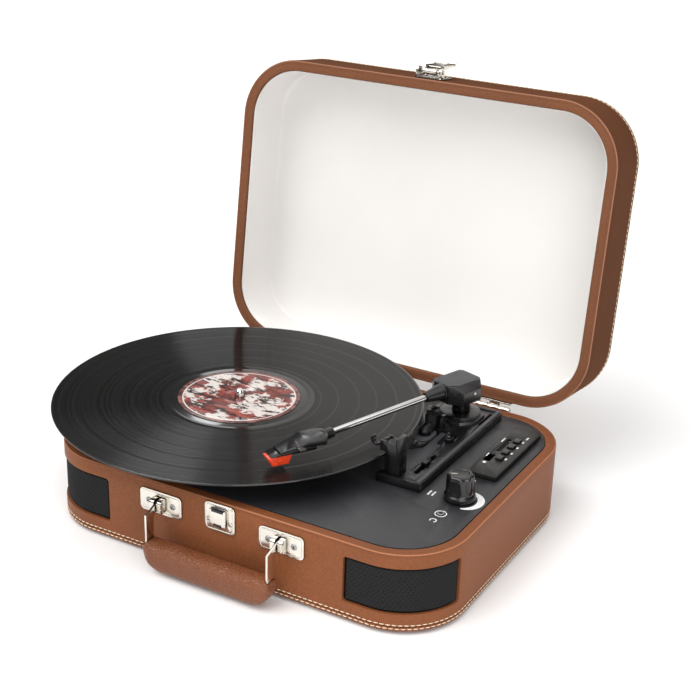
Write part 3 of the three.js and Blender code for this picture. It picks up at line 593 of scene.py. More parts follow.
def stitch_mesh(length, width, lift):
    """One stitch: thread that dives into the leather at both ends."""
    bm = bmesh.new()
    loops = []
    for i in range(7):
        t = i / 6
        reach = math.sin(math.pi * min(max(t, 0.02), 0.98)) ** 0.5
        x, height, radius = (t - 0.5) * length, (reach - 0.55) * lift, reach * width / 2
        ring = [(x, radius * math.cos(a), height + radius * math.sin(a)) for a in circle(8)]
        loops.append(add_loop(bm, ring))
    skin(bm, loops)
    return mesh_of(bm)


STITCH = stitch_mesh(3.6, 0.76, 0.3)
STITCH_PITCH = 4.45
STRAIGHT_X, STRAIGHT_Y, QUARTER = 2 * (HALF_X - CORNER), 2 * (HALF_Y - CORNER), math.pi / 2 * CORNER


def stitch_rows(name, body, rows, within):
    """Rows of stitches round the case at the given heights, each sunk a little into the leather."""
    bm = bmesh.new()
    total = 2 * STRAIGHT_X + 2 * STRAIGHT_Y + 4 * QUARTER
    count = int(total / STITCH_PITCH)
    for z, phase in rows:
        for i in range(count):
            s = (i + phase) * total / count
            place, normal = edge_point(s)
            along = (-normal[1], normal[0], 0)
            tilt = random.uniform(-0.05, 0.05)
            matrix = frame_of((*place, z), (*normal, 0), along)
            add_mesh(bm, STITCH, matrix @ Matrix.Rotation(tilt, 4, "Z"))
    piece_from(name, bm, THREAD, body, within=within, angle=60)


def edge_point(s):
    """The point and outward normal at a distance s round the case's outer edge, from the front left."""
    for side, (cx, cy) in enumerate(corner_centres(HALF_X, HALF_Y, CORNER)):
        length = (STRAIGHT_X, STRAIGHT_Y)[side % 2]
        turn = math.radians(90 * side - 90)
        back = 0.0
        if s <= length:
            back = length - s
        elif s <= length + QUARTER:
            turn += (s - length) / CORNER
        else:
            s -= length + QUARTER
            continue
        nx, ny = math.cos(turn), math.sin(turn)
        return (cx + CORNER * nx + back * ny, cy + CORNER * ny - back * nx), (nx, ny)
    return (-HALF_X + CORNER, -HALF_Y), (0, -1)


# ---- case base
# The speaker bands start at this X, turn through this angle of the corner and lie between these heights.
BAND_START, BAND_SWEEP, BAND_LOW, BAND_HIGH = 104.0, math.radians(80.0), 14.0, 51.0
BAND_DEPTH, BAND_ROUND, WEAVE_PITCH = 3.2, 2.6, 1.9
BAND_FLAT = HALF_X - CORNER - BAND_START
BAND_LENGTH = BAND_FLAT + BAND_SWEEP * CORNER


def grille_point(s, inset, side):
    """A point on the speaker band: s runs from the front towards the side, side is 1 or -1."""
    if s < BAND_FLAT:
        x, y = BAND_START + s, -HALF_Y + inset
    else:
        angle = math.radians(-90) + (s - BAND_FLAT) / CORNER
        x = HALF_X - CORNER + (CORNER - inset) * math.cos(angle)
        y = -HALF_Y + CORNER + (CORNER - inset) * math.sin(angle)
    return side * x, y


def corner_cut(s, length, radius):
    """How far a rounded corner pulls the band's top and bottom in, at s from its end."""
    near = min(s, length - s)
    if near >= radius:
        return 0.0
    return radius - math.sqrt(max(0.0, radius * radius - (radius - near) ** 2))


def band_samples(length, radius, step):
    dense = [radius * (1 - math.cos(math.pi / 2 * i / 6)) for i in range(6)]
    count = max(2, int((length - 2 * radius) / step))
    middle = [radius + (length - 2 * radius) * i / count for i in range(count + 1)]
    return dense + middle + [length - d for d in reversed(dense)]


def band_edges(s, length, radius, margin=0.0):
    """The band's bottom and top heights at s, with its rounded corners."""
    pull = margin + corner_cut(s, length, radius)
    return BAND_LOW + pull, BAND_HIGH - pull


def recess_cutter(side):
    bm = bmesh.new()
    loops = []
    for s in band_samples(BAND_LENGTH, BAND_ROUND, 3):
        low, high = band_edges(s, BAND_LENGTH, BAND_ROUND)
        outer, inner = grille_point(s, -2, side), grille_point(s, BAND_DEPTH, side)
        loops.append(add_loop(bm, [(*outer, low), (*outer, high), (*inner, high), (*inner, low)]))
    skin(bm, loops)
    return mesh_of(bm)


def base_profile():
    """The wall's section as (inset, z): the bottom corner, the wall, the rim, then down inside."""
    bottom = arc(0.9, 0.9, 0.9, 270, 180, 3)
    welt = [(0, 3.25), (0.5, 3.55), (0.5, 3.85), (0.05, 4.15)]
    seam = [(0.05, 58.9), (0.2, 59.3), (0.2, 59.6), (0.02, 60.0)]
    rim = arc(1.15, CASE_TOP - 1.15, 1.15, 180, 90, 5)
    rim += [(2.4, CASE_TOP), (2.7, CASE_TOP - 0.22), (3.0, CASE_TOP - 0.12)]
    inner = arc(RIM_INSET - 1.1, CASE_TOP - 1.15, 1.1, 90, 0, 4)
    ledge = [(RIM_INSET, 59.25), (13, 59.25), (13, 54.5), (RIM_INSET, 54.0)]
    ledge += [(RIM_INSET, 0.4), (RIM_INSET - 0.4, 0)]
    walls = [(0.04, z) for z in (12, 20, 30, 40, 50)]
    return bottom + welt + walls + seam + rim + inner + ledge


def mark_wear_and_painted_light(bm, profile, wear):
    """Writes a per-vertex tone for the leather: 1 on the pale outer edge, partly wear and partly a painted
    highlight; below 0 where it is darker, which on the lid's side wall is painted shade.
    """
    mark(bm, "wear_and_painted_light", [wear(inset, z) for inset, z in profile for _ in CASE_PATH])


def base_wear_and_highlight(inset, z):
    if inset == 0.5:
        return -1.0
    # The rim's outer edge: partly wear, partly a painted highlight.
    if z > CASE_TOP - 0.7 and inset < 0.9:
        return 1.0
    return -0.2 if z > CASE_TOP - 1.5 else 0.0


def round_cutter(radius, start, end, segments, place):
    bm = bmesh.new()
    lathe(bm, [(0, start), (radius, start), (radius, end), (0, end)], segments, closed=False)
    bm.transform(place)
    return mesh_of(bm)


def base_leather():
    """The wall with its rim, speaker recesses and ports, and the rear cut-outs for the sockets."""
    bm = bmesh.new()
    profile = base_profile()
    close_ring(bm, case_loops(bm, profile))
    mark_wear_and_painted_light(bm, profile, base_wear_and_highlight)
    cutters = [recess_cutter(1), recess_cutter(-1)]
    for side in (1, -1):
        centre = Vector((side * (HALF_X - CORNER), -HALF_Y + CORNER, (BAND_LOW + BAND_HIGH) / 2))
        cutters.append(round_cutter(15, 38, 56, 40, frame_of(centre, (side, -1, 0))))
    bay = bmesh.new()
    add_box(bay, 48, 72, HALF_Y - 12, HALF_Y + 2, 17, 27)
    cutters.append(mesh_of(bay))
    inlet_place = Matrix.Translation((120, HALF_Y - 2, 20)) @ Matrix.Rotation(math.radians(-90), 4, "X")
    cutters.append(round_cutter(5.8, -12, 4, 32, inlet_place))
    shell = cut_away(mesh_of(bm), cutters)
    shell.transform(TO_FRAME)
    finish_piece("base_leather", shell, LEATHER, "base", ("base_shell",), 35)


def rubber_foot(corner):
    foot, _, _, tall = box_of("foot_" + corner)
    bm = bmesh.new()
    profile = [(0, 0.35), (4.2, 0.35), (5, 0), *arc(8.2, 0.8, 0.8, 270, 340, 3), (9.9, tall), (0, tall)]
    lathe(bm, profile, 40, closed=False)
    node = "foot_" + corner
    piece_from("rubber_" + node, bm, RUBBER, "base", (node,), millimetres_at(foot))


base_leather()
stitch_rows("base_stitching", "base", [(5.15, 0.0), (2.15, 0.5)], TO_FRAME)

refine("bottom_panel", PLINTH, 0.5)
for corner in ("front_left", "front_right", "back_left", "back_right"):
    rubber_foot(corner)


def thread_height(s, z):
    """How high the weave stands, 0 to 1: two sets of threads that cross at 45 degrees."""
    u, v = (s + z) / WEAVE_PITCH, (s - z) / WEAVE_PITCH
    over = (math.floor(u) + math.floor(v)) % 2
    return abs(math.sin(math.pi * (u if over else v))) ** 0.7


def speaker_weave(name, side, node):
    """The cloth over a corner speaker. Its edges run deep into the recess."""
    margin, rows = 0.3, 88
    length = BAND_LENGTH - 2 * margin
    radius = BAND_ROUND - 0.2
    bm = bmesh.new()
    grid, rear, values, rear_values = [], [], [], []
    columns = band_samples(length, radius, 0.42)
    for s in columns:
        low, high = band_edges(s, length, radius, margin)
        column = []
        for k in range(rows + 1):
            z = low + (high - low) * k / rows
            near = min(z - low, high - z, s + 0.01, length - s + 0.01)
            settle = max(0.0, min(1.0, near / 2.2))
            height = thread_height(s, z) * settle
            x, y = grille_point(s + margin, 2.6 - math.sqrt(settle) - 0.36 * height, side)
            column.append(bm.verts.new((x, y, z)))
            values.append(height)
        grid.append(column)
    for s in columns:
        low, high = band_edges(s, length, radius, margin)
        x, y = grille_point(s + margin, BAND_DEPTH - 0.4, side)
        rear.append([bm.verts.new((x, y, low)), bm.verts.new((x, y, high))])
        rear_values += [0.0, 0.0]
    for a, b, c, d in zip(grid, grid[1:], rear, rear[1:]):
        bridge(bm, a, b, closed=False)
        bm.faces.new((c[0], c[1], d[1], d[0]))
        bm.faces.new((a[0], c[0], d[0], b[0]))
        bm.faces.new((a[-1], b[-1], d[1], c[1]))
    for i in (0, -1):
        bm.faces.new([*grid[i], rear[i][1], rear[i][0]])
    # The thread attribute is the weave height, fading to 0 at the edges; the material paints shade from it.
    mark(bm, "thread", values + rear_values)
    piece_from(name, bm, CLOTH, "base", (node,), angle=50)


speaker_weave("speaker_cloth_right", 1, "speaker_grille_right")
speaker_weave("speaker_cloth_left", -1, "speaker_grille_left")
for side in ("left", "right"):
    refine("speaker_driver_" + side, bevel=0.4)

# ---- plinth, platter and record
refine("plinth", PLINTH, 0.4)
for inner_piece, edge in (("circuit_board", 0.15), ("motor", 0.5), ("motor_pulley", 0.1),
                          ("platter_bearing", 0.2), ("drive_belt", 0.15)):
    refine(inner_piece, bevel=edge)

platter_at = at(PLATTER_X, PLATTER_Y, 0)


def turned_piece(name, profile, segments, look, body, node, closed=True, grooved=None, angle=32):
    bm = bmesh.new()
    loops = lathe(bm, profile, segments, closed=closed)
    if grooved:
        mark(bm, "grooved", [value for value, loop in zip(grooved, loops) for _ in loop])
    place = millimetres_at(platter_at)
    piece_from(name, bm, look, body, (node,), place, angle, location=platter_at)


platter_profile = [
    (3.9, 66), (14, 66), (14, 74), (69, 74), (69, 67), (72, 67), (72, 74), (95, 74), (95, 66.3), (95.3, 66),
    (97.9, 66), (98.3, 66.4), (98.5, 67), (98.5, 70), (98.1, 70.3), (98.1, 71.2), (98.5, 71.5), (98.5, 76.4),
    *arc(96.9, 77.4, 1.6, 0, 90, 5), (5, 79), (4.3, 78.8), (3.9, 78.3)]
turned_piece("platter_casting", platter_profile, 144, BLACK, "platter", "platter")

mat_profile = [(4.2, 79.1), (96.5, 79.1), (96.5, 80.9), (96.1, 81.3)]
for ring in range(14):
    r = 94 - ring * 4.2
    mat_profile += [(r + 0.6, 81.3), (r + 0.3, 80.9), (r - 0.3, 80.9), (r - 0.6, 81.3)]
mat_profile += [(4.6, 81.3), (4.2, 80.9)]
turned_piece("platter_mat_ribbed", mat_profile, 120, RUBBER, "platter", "platter_mat")


def record_profile():
    """The record's section with its edge bead, lead-in, bands of grooves, gaps and label step."""
    under = [(3.9, 81.55), (150.0, 81.55)]
    edge = arc(150.2, 82.42, 0.8, -90, 60, 6)
    points, grooved = under + edge, [0] * (len(under) + len(edge))
    gaps = [144.8, 129.0, 112.5, 98.2, 81.0, 66.5]
    r = 149.4
    points.append((r, 83.08))
    grooved.append(0)
    while r > 62:
        r -= 0.62
        band = not any(abs(r - gap) < 0.75 for gap in gaps)
        wave = 0.004 * math.sin(r * 4.7) + 0.003 * math.sin(r * 11.3)
        points.append((r, 83.0 + wave if band else 82.955))
        grooved.append(1 if band else 0.7)
    wax = [(61.2, 83.0), (56.5, 83.0), (56.2, 82.93), (55.8, 82.93), (55.5, 83.0), (51.4, 83.02)]
    step = [(51.1, 83.1), (50.5, 83.1)]
    middle = [(50.2, 82.99), (4.2, 82.99), (3.9, 82.8)]
    return points + wax + step + middle, grooved + [0.2] * len(wax) + [0.1] * len(step) + [0] * len(middle)


points, grooved = record_profile()
turned_piece("record_vinyl", points, 288, VINYL, "platter", "record_disc", True, grooved, 50)
label_profile = [(3.9, 83.1), (49.6, 83.1), (49.9, 83.2), (49.9, 83.32), (49.6, 83.4), (14.6, 83.4),
                 (14.3, 83.3), (13.9, 83.3), (13.6, 83.4), (4.3, 83.4), (3.9, 83.3)]
turned_piece("record_centre_label", label_profile, 144, LABEL, "platter", "record_label")
spindle_profile = [(0, 50), (3.6, 50), (3.6, 86.9), (3.45, 87.6), (3.1, 88.6), (2.5, 89.6), (1.6, 90.3),
                   (0.7, 90.5), (0, 90.5)]
turned_piece("spindle_pin", spindle_profile, 40, CHROME, "base", "spindle", closed=False)

# ---- tonearm deck and controls
for node, look, edge, steps in (
    ("tonearm_deck", DECK, 0.45, 2), ("arm_rest", BLACK, 0.4, 2), ("arm_rest_clip", BLACK, 0.25, 2),
    ("cue_lever", BLACK, 0.5, 3), ("speed_switch", BLACK, 0.35, 2), ("autostop_switch", BLACK, 0.35, 2),
    ("module_panel", PLATE, 0.4, 2), ("media_sockets", STEEL, 0.15, 2), ("headphone_jack", STEEL, 0.2, 2),
):
    refine(node, look, edge, steps)
for control in ("previous", "play", "next", "mode"):
    refine("button_" + control, BLACK, 0.4, 3)


def stadium_pad(name, x, y0, y1, radius, z0, z1, look):
    """A pad with round ends that lies along Y, with a softened top."""
    middle = (y0 + y1) / 2
    ends = [(y1 - radius, 0), (y0 + radius, math.pi)]
    outline = []
    for y, start in ends:
        turns = [start + math.pi * i / 16 for i in range(17)]
        outline += [(x + radius * math.cos(a), y + radius * math.sin(a)) for a in turns]
    bm = bmesh.new()
    loops = []
    for z, shrink in ((z0, 0), (z1 - 0.3, 0), (z1, 0.04)):
        ring = [(px + (x - px) * shrink, py + (middle - py) * shrink, z) for px, py in outline]
        loops.append(add_loop(bm, ring))
    skin(bm, loops)
    piece_from(name, bm, look, "base")


def plate_on(name, points, z0, z1, look, body="base", edge=0.25, within=TO_FRAME):
    """A thin moulded plate with a softened top edge."""
    bm = bmesh.new()
    low = add_loop(bm, [(x, y, z0) for x, y in points])
    high = add_loop(bm, [(x, y, z1) for x, y in points])
    bridge(bm, low, high)
    bm.faces.new(low)
    top = bm.faces.new(high)
    bm.normal_update()
    if edge:
        round_edges(bm, list(top.edges), edge)
    piece_from(name, bm, look, body, within=within)


def box_points(x0, x1, y0, y1):
    return [(x0, y0), (x1, y0), (x1, y1), (x0, y1)]


stadium_pad("cue_rest_pad", 81, 27.2, 52.8, 7.2, 67.05, 69.3, PAD)
work_floor = [(84.1, -21.4), (100.4, -21.4), (100.4, 33.4), (95.6, 33.4), (95.6, 53.4), (89.6, 53.4),
              (89.6, 21.6), (80.8, 11.6)]
for name, points, z0, z1, edge in (
    ("work_floor", work_floor, 67.45, 67.75, 0.25),
    ("work_floor_step", box_points(85.6, 99.4, -20.2, -6.5), 67.76, 68.3, 0.25),
    ("deck_rail", box_points(113.0, 116.2, -37.0, 110.0), 69.45, 70.9, 0.5),
    ("deck_rail_back", box_points(82.0, 112.4, 106.8, 110.0), 69.45, 70.9, 0.5),
    ("deck_label_plate", box_points(103.0, 110.5, -33.6, -27.8), 69.45, 69.9, 0.2),
):
    plate_on(name, points, z0, z1, FLOOR_GREY, edge=edge)
for row in range(3):
    y = -32.8 + 1.7 * row
    plate_on(f"deck_label_line_{row}", box_points(104.0, 109.5, y, y + 0.7), 69.85, 70.05, PAD, edge=0.1)
for step in range(5):
    y = -20.5 + 7.2 * step
    plate_on(f"speed_tick_{step}", box_points(108.4, 110.0, y, y + 0.6), 69.45, 69.6, PAD, edge=0)

# ---- volume knob
def knob():
    """A moulded knob: a skirted base, a waist, and a crown with eight broad flutes and a pointer."""
    axis = box_of("volume_knob")[0]
    axis.z = ORIGIN.z
    place = millimetres_at(axis)
    section = [  # radius, height and how deep the eight flutes run there
        (3.0, 52.0, 0), (3.0, 63.7, 0), (11.2, 63.7, 0), (11.9, 64.2, 0), (12.0, 65.0, 0), (11.9, 67.0, 0),
        (11.6, 67.8, 0), (11.0, 68.4, 0), (10.75, 69.2, 0.15), (10.7, 70.2, 0.5), (10.65, 72.0, 0.9),
        (10.55, 79.5, 1), (10.4, 81.6, 1), (10.0, 82.9, 0.95), (9.3, 83.7, 0.8), (8.3, 84.0, 0.5),
        (7.2, 84.0, 0.2), (6.6, 83.55, 0), (6.0, 83.4, 0)]
    bm = bmesh.new()
    loops = []
    for radius, z, depth in section:
        ring = []
        for a in circle(240):
            reach = radius - depth * (0.5 + 0.5 * math.cos(8 * a))
            ring.append((reach * math.cos(a), reach * math.sin(a), z))
        loops.append(add_loop(bm, ring))
    skin(bm, loops)
    node = "volume_knob"
    piece_from("volume_knob_scalloped", bm, GLOSS, node, (node,), place, 40)
    pointer = softened_box((2.4, 8.7, -0.4, 0.4, 83.2, 83.95), 0.12)
    pointer.transform(Matrix.Rotation(math.radians(205), 4, "Z"))
    piece_from("volume_pointer", pointer, PALE, "volume_knob", within=place)


knob()

# ---- tonearm
refine("arm_turret", BLACK, 0.4)
refine("arm_housing", HOUSING, 0.7, 3)
arm_pivot = Vector(JOINTS["tonearm_swing"]["pos_m"])
ARM_FRAME = (Matrix.Translation((arm_pivot.x, arm_pivot.y, ORIGIN.z)) @ Matrix.Rotation(ARM_HEADING, 4, "Z")
             @ Matrix.Scale(MM, 4))
roof = [(-8.2, -7.6), (-2.4, -11.4), (16.4, -11.4), (23.4, -6.4)]
roof += [(x, -y) for x, y in reversed(roof)]
plate_on("arm_housing_roof", roof, 104.9, 105.5, PAD, "tonearm", 0.3, ARM_FRAME)
for index, (x, y0, y1) in enumerate(((21.2, 7.6, 9.4), (25.6, 6.7, 7.7))):
    fin = softened_box((x, x + 1.5, y0, y1, 93.0, 101.0), 0.3)
    piece_from(f"arm_housing_fin_{index}", fin, BLACK, "tonearm", within=ARM_FRAME)
dot = bmesh.new()
lathe(dot, [(0, 0.35), (0.75, 0.35), (1.0, 0.1), (1.0, -0.4), (0, -0.4)], 24, closed=False)
dot.transform(frame_of((4.0, 18.05, 97.2), (0, 1, 0), (1, 0, 0)))
piece_from("arm_housing_dot", dot, WHITE, "tonearm", within=ARM_FRAME)
refine("arm_tube", CHROME, 0)
refine("headshell", HOUSING, 0.35)
refine("cartridge", BLACK, 0.4)
refine("stylus", RED, 0.35)

# ---- front and rear hardware
for side in ("left", "right"):
    refine("handle_bracket_" + side, bevel=0.3, segments=3)
    refine("handle_bail_" + side, bevel=0.25)
    for part in ("hinge_leaf_base_", "hinge_leaf_lid_", "hinge_pin_"):
        refine(part + side, bevel=0.2)
refine("catch_plate", bevel=0.4, segments=3)
for latch_piece in ("latch_plate", "latch_lever", "latch_hook"):
    refine(latch_piece, NICKEL_DEEP_SHADE, 0.3, 3)
refine("dc_inlet", bevel=0.2)
refine("rca_socket_plate", bevel=0.3)

# The plates' outer faces stand at or near PLATE_FACE, and the brackets sit at these places.
PLATE_FACE = -HALF_Y - 1.35
BRACKET_X, BRACKET_Z = 53.5, 46


def plate_rim(name, x, z, width, height, corner, y, body, within=TO_FRAME):
    """The rolled bead just inside the edge of a pressed plate."""
    margin, half_width, rise = 1.5, 0.55, 0.2
    path = rounded_path(width / 2, height / 2, corner, 8, 4)
    bm = bmesh.new()
    loops = []
    for a in circle(8):
        ring = ring_points(path, corner, margin + half_width * math.cos(a), 0)
        loops.append(add_loop(bm, [(x + px, y - rise * math.sin(a), z + pz) for px, pz, _ in ring]))
    close_ring(bm, loops)
    piece_from(name, bm, NICKEL, body, within=within, angle=60)


plate_rim("bracket_bead_left", -BRACKET_X, BRACKET_Z, 38, 18.5, 3.5, -HALF_Y - 1.32, "base")
plate_rim("bracket_bead_right", BRACKET_X, BRACKET_Z, 38, 18.5, 3.5, -HALF_Y - 1.32, "base")
plate_rim("catch_bead", 0, 49.5, 26.5, 23.5, 4, -HALF_Y - 1.42, "base")
plate_rim("latch_bead", 0, 78, 26.5, 22, 4, -HALF_Y - 1.52, "lid", LID_FRAME)

# Dark blocks stand in for the shade inside the catch's slots, painted shade just proud of its box.
catch_front = (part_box("catch_plate")[0].y - ORIGIN.y) / MM
for name, z0, z1, half in (("catch_mouth_shade_upper", 55.6, 57.9, 5.2), ("catch_mouth_shade_lower", 44.1, 45.9, 3.4)):
    mouth = softened_box((-half, half, catch_front - 0.35, catch_front + 2.4, z0, z1), 0.3)
    piece_from(name, mouth, BLACK, "base")


FORWARD, UP = (0, -1, 0), (0, 0, 1)
CATCH_SCREWS = [(x, PLATE_FACE, 47) for x in (-9.7, 9.7)]
LATCH_SCREWS = [(x, PLATE_FACE - 0.1, 84.5) for x in (-9.8, 9.8)]
PLINTH_SCREWS = [(88.7, -114.2, 62.4), (124, 113.8, 62.4), (-124, 113.8, 62.4), (-88.7, -114.2, 62.4)]
MODULE_SCREWS = [(144.3, 13.0, 66.45), (143.9, 93.8, 66.45)]
left, right = [[(x + offset, PLATE_FACE, BRACKET_Z) for offset in (-11, 11)] for x in (-BRACKET_X, BRACKET_X)]
# Each screw is turned by its own random angle.
for name, body, places, mesh, look, outward, matrix, slot in (
    ("bracket_screws_left", "base", left, SCREW_PLATE, STEEL, FORWARD, TO_FRAME, "nickel"),
    ("bracket_screws_right", "base", right, SCREW_PLATE, STEEL, FORWARD, TO_FRAME, "nickel"),
    ("catch_screws", "base", CATCH_SCREWS, SCREW_SMALL, NICKEL, FORWARD, TO_FRAME, "nickel"),
    ("latch_screws", "lid", LATCH_SCREWS, SCREW_SMALL, NICKEL, FORWARD, LID_FRAME, "nickel"),
    ("plinth_screws", "base", PLINTH_SCREWS, SCREW_BIG, OXIDE, UP, TO_FRAME, "black_plastic"),
    ("module_screws", "base", MODULE_SCREWS, SCREW_SMALL, OXIDE, UP, TO_FRAME, "black_plastic"),
):
    bm = bmesh.new()
    for place in places:
        turn = Matrix.Rotation(random.uniform(0, math.pi), 4, "Z")
        add_mesh(bm, mesh, frame_of(place, outward) @ turn)
    piece_from(name, bm, look, body, within=matrix, angle=35)

# ---- handle grip
def handle_grip():
    """A leather-wrapped bar: a straight top, big round lower corners and a soft section."""
    low_corner, top_corner, pinch_length, power = 17.0, 3.5, 6.0, 0.62
    slices = 72
    foot, half_x, half_y, tall = box_of("handle_grip")
    bm = bmesh.new()
    loops = []
    for i in range(slices + 1):
        x = -half_x * math.cos(math.pi * i / slices)
        from_end = half_x - abs(x)
        bottom = 0.93 * corner_cut(from_end, 2 * half_x, low_corner)
        top = tall - corner_cut(from_end, 2 * half_x, top_corner)
        pinch = max(0.12, min(1.0, (from_end / pinch_length) ** 0.5))
        ry, rz = half_y * (0.55 + 0.45 * pinch), max((top - bottom) / 2, 0.6)
        ring = []
        for a in circle(40):
            c, s = math.cos(a), math.sin(a)
            y = ry * math.copysign(abs(c) ** power, c)
            z = (top + bottom) / 2 + rz * math.copysign(abs(s) ** power, s)
            ring.append((x, y, z))
        loops.append(add_loop(bm, ring))
    skin(bm, loops)
    bm.transform(millimetres_at(foot))
    # The bails enter the grip through slots a little wider than their wire.
    gap, reach, clear = 0.3 * MM, 4.8 * MM, 30 * MM
    slots = []
    for side in ("left", "right"):
        bail_low, bail_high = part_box("handle_bail_" + side)
        bottom = bail_low.z - 0.4 * MM
        cut = bmesh.new()
        add_box(cut, bail_low.x - gap, bail_high.x + gap, foot.y - reach, foot.y + reach,
                bottom, bottom + clear)
        slots.append(mesh_of(cut))
    mesh = cut_away(mesh_of(bm), slots)
    node = "handle_grip"
    piece = finish_piece("handle_grip_leather", mesh, LEATHER_GRIP, "handle", (node,), 50)


handle_grip()

# ---- lid
def lid_wear_and_painted_light(inset, z):
    if inset == 0.5:
        return -1.0
    # The rim's outer edge: partly wear, partly a painted highlight.
    if z < LID_RIM + 0.7 and inset < 0.9:
        return 1.0
    # Painted shade on the side wall, where the inset is under 0.3, and a little painted light elsewhere.
    return -0.5 if inset < 0.3 else 0.1


def raised(points, z):
    return [(inset, height + z) for inset, height in points]


def capped_ring(profile):
    """A section swept round the case, closed at both ends of the section by flat faces."""
    bm = bmesh.new()
    skin(bm, case_loops(bm, profile))
    return bm


def lid_leather():
    """The lid as it lies on the closed case: rim, seam, wall, welt, top edge and top panel."""
    inside = [(30, LID_TOP - 4), (RIM_INSET, LID_TOP - 4)]
    rim = [(RIM_INSET, 2.4), *arc(RIM_INSET - 1.1, 1.1, 1.1, 0, -90, 4), (3.0, 0.12), (2.7, 0.22), (2.4, 0)]
    rim += arc(1.15, 1.15, 1.15, -90, -180, 5)
    seam = [(0.02, 2.5), (0.2, 2.9), (0.2, 3.2), (0.05, 3.6)]
    wall = [(0.05, h) for h in (10, 18, 26, 34, 42)]
    welt = [(0.05, -4.6), (0.5, -4.2), (0.5, -3.9), (0, -3.5)]
    top = [*arc(1.6, -1.6, 1.6, 180, 90, 5), (14, 0), (30, 0)]
    profile = inside + raised(rim + seam + wall, LID_RIM) + raised(welt + top, LID_TOP)
    bm = capped_ring(profile)
    mark_wear_and_painted_light(bm, profile, lid_wear_and_painted_light)
    piece_from("lid_leather", bm, LEATHER_LID_SHADED, "lid", ("lid_shell",), LID_FRAME, 35)


def lid_cloth():
    """The lining: a padded lip inside the rim, straight walls and a flat floor."""
    behind = [(32, LID_TOP - 4.3), (9.3, LID_TOP - 4.3)]
    lip_and_wall = [(9.3, 2.5), (9.7, 2.4), (10.1, 2.55), (10.3, 2.9), (10.3, 12), (10.3, 24), (10.3, 36)]
    floor = [*arc(12.8, -2.5, 2.5, 180, 90, 6), (32, 0)]
    bm = capped_ring(behind + raised(lip_and_wall, LID_RIM) + raised(floor, LID_TOP - 5.3))
    piece_from("lid_lining_cloth", bm, LINING, "lid", ("lid_lining",), LID_FRAME, 40)


lid_leather()
lid_cloth()
stitch_rows("lid_stitching", "lid", [(LID_TOP - 5.5, 0.0), (LID_TOP - 2.2, 0.5)], LID_FRAME)

# ---- printed marks
def bowed_strip(bm, x, y, inner, width_at, start, end, z0, z1, steps=48):
    """A strip that follows a circle, with a width that changes along it. Angles in degrees."""
    rings = []
    for i in range(steps + 1):
        t = i / steps
        angle = math.radians(start + (end - start) * t)
        c, s = math.cos(angle), math.sin(angle)
        outer = inner + width_at(t)
        section = ((inner, z0), (outer, z0), (outer, z1), (inner, z1))
        rings.append(add_loop(bm, [(x + r * c, y + r * s, z) for r, z in section]))
    skin(bm, rings)


def dashes(bm, x, y, widths, depth, gap, z0, z1):
    """A row of plain dashes, which run from the given point towards the front."""
    place = Matrix.Translation((x, y, 0)) @ Matrix.Rotation(math.radians(270), 4, "Z")
    reach = 0.0
    for width in widths:
        verts = add_box(bm, reach, reach + width, -depth / 2, depth / 2, z0, z1)
        bmesh.ops.transform(bm, matrix=place, verts=verts)
        reach += width + gap


def crescent(t):
    return 0.6 + 4.8 * math.sin(math.pi * min(1.0, 0.12 + 0.86 * t)) ** 0.8


def plinth_marks():
    """The knob's level crescent, a small arc, a ring round the jack and rows of dashes."""
    heights = (62.45, 62.58)
    jack_x, jack_y, _ = (box_of("headphone_jack")[0] - ORIGIN) / MM
    bm = bmesh.new()
    bowed_strip(bm, 146, -30, 13.6, crescent, 70, -62, *heights)
    bowed_strip(bm, 143.5, -68.5, 2.0, lambda t: 0.75, -60, 215, *heights, 24)
    bowed_strip(bm, jack_x, jack_y, 3.9, lambda t: 0.7, 0, 359.9, *heights, 40)
    dashes(bm, 126.2, -29.6, (1.4, 0.9, 1.6, 1.2), 1.5, 0.5, *heights)
    dashes(bm, 122.8, -29.6, (0.9, 1.5, 1.5, 1.2), 1.5, 0.5, *heights)
    dashes(bm, 143.6, 3.0, (1.3, 0.8, 1.6, 1.1, 1.4, 0.9, 1.2), 1.3, 0.45, *heights)
    piece_from("plinth_marks", bm, WHITE, "base")


def module_marks():
    """Short dashes beside each button and slot, and a dot."""
    heights = (66.45, 66.6)
    bm = bmesh.new()
    for y in (39.5, 50.8, 62.1, 73.4):
        dashes(bm, 152.1, y + 2.2, (0.7, 1.5), 1.5, 0.5, *heights)
    dashes(bm, 136.6, 74.0, (1.2, 0.8, 1.4, 1.0, 1.2), 1.2, 0.4, *heights)
    dashes(bm, 136.4, 43.2, (1.6, 0.8, 1.8), 1.0, 0.5, *heights)
    bowed_strip(bm, 139.6, 27.4, 0.2, lambda t: 1.2, 0, 359.9, *heights, 24)
    dashes(bm, 152.4, 84.5, (1.4, 0.9, 1.3), 1.3, 0.4, *heights)
    piece_from("module_marks", bm, WHITE, "base")


plinth_marks()
module_marks()

# ---- stage, light and camera
def aim(thing, place, target, roll=0.0):
    """Puts a lamp or camera at a place so that it looks at the target."""
    turn = (Vector(target) - Vector(place)).to_track_quat("-Z", "Y")
    thing.location = place
    thing.rotation_euler = (turn @ Matrix.Rotation(roll, 4, "Z").to_quaternion()).to_euler()


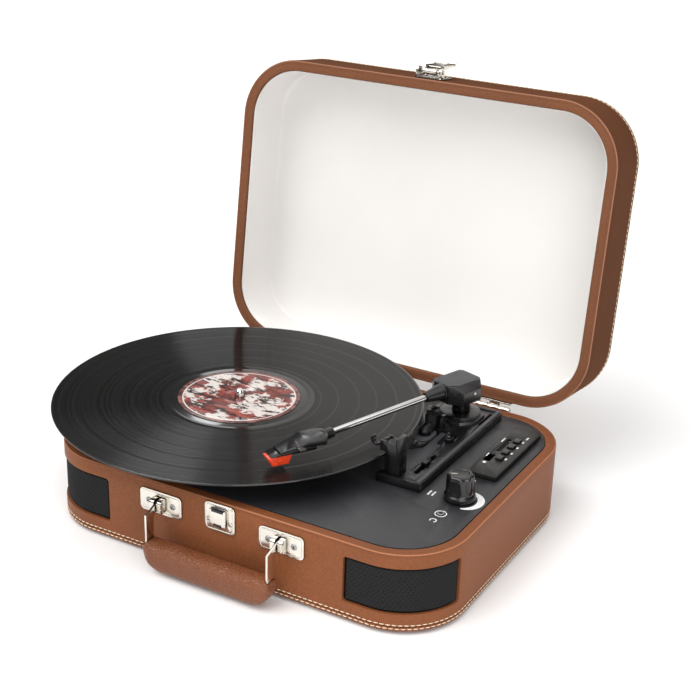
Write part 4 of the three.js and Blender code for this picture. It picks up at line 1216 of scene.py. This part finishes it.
def stage():
    """A pale floor, nine metres to each side."""
    size = 9.0
    bm = bmesh.new()
    bm.faces.new(add_loop(bm, [(-size, -size, 0), (size, -size, 0), (size, size, 0), (-size, size, 0)]))
    mesh = mesh_of(bm, "floor")
    mesh.shade_smooth()
    look = Look("pale_floor", Roughness=0.85, Specular_IOR_Level=0.2)
    look.set(Base_Color=look.blend(look.noise(3), (0.92, 0.92, 0.92), (0.95, 0.95, 0.95)))
    mesh.materials.append(look.data)
    new_object("floor", mesh)


def soft_sky():
    """A studio ceiling: bright overhead, dim near the horizon."""
    world = bpy.data.worlds.new("studio")
    bpy.context.scene.world = world
    world.use_nodes = True
    tree = world.node_tree
    direction = tree.nodes.new("ShaderNodeTexCoord").outputs["Generated"]
    split = tree.nodes.new("ShaderNodeSeparateXYZ")
    tree.links.new(direction, split.inputs[0])
    fade = tree.nodes.new("ShaderNodeMapRange")
    fade.interpolation_type = "SMOOTHSTEP"
    for label, value in (("From Min", 0.42), ("From Max", 0.85), ("To Min", 0.12), ("To Max", 1.35)):
        fade.inputs[label].default_value = value
    tree.links.new(split.outputs["Z"], fade.inputs["Value"])
    background = tree.nodes["Background"]
    tree.links.new(fade.outputs[0], background.inputs["Strength"])
    background.inputs["Color"].default_value = (1.0, 0.99, 0.98, 1)


def lights():
    """A broad key from the front left, a fill, and two lamps for the record's soft streaks."""
    sun = bpy.data.lights.new("key", "SUN")
    sun.energy, sun.angle = KEY_POWER, KEY_SPREAD
    aim(new_object("key", sun), KEY_FROM, (0, 0, 0))
    for name, place, target, size, power in LAMPS:
        data = bpy.data.lights.new(name, "AREA")
        data.shape = "RECTANGLE"
        data.size, data.size_y = size
        data.energy = power
        aim(new_object(name, data), place, target)


def camera():
    data = bpy.data.cameras.new("camera")
    data.lens, data.sensor_width = CAMERA_LENS, CAMERA_SENSOR
    data.clip_start, data.clip_end = 0.05, 30
    eye = new_object("camera", data)
    bpy.context.scene.camera = eye
    aim(eye, at(*CAMERA_PLACE), at(*CAMERA_TARGET), CAMERA_ROLL)


stage()
soft_sky()
lights()
camera()
bpy.context.scene.view_settings.view_transform = "Standard"
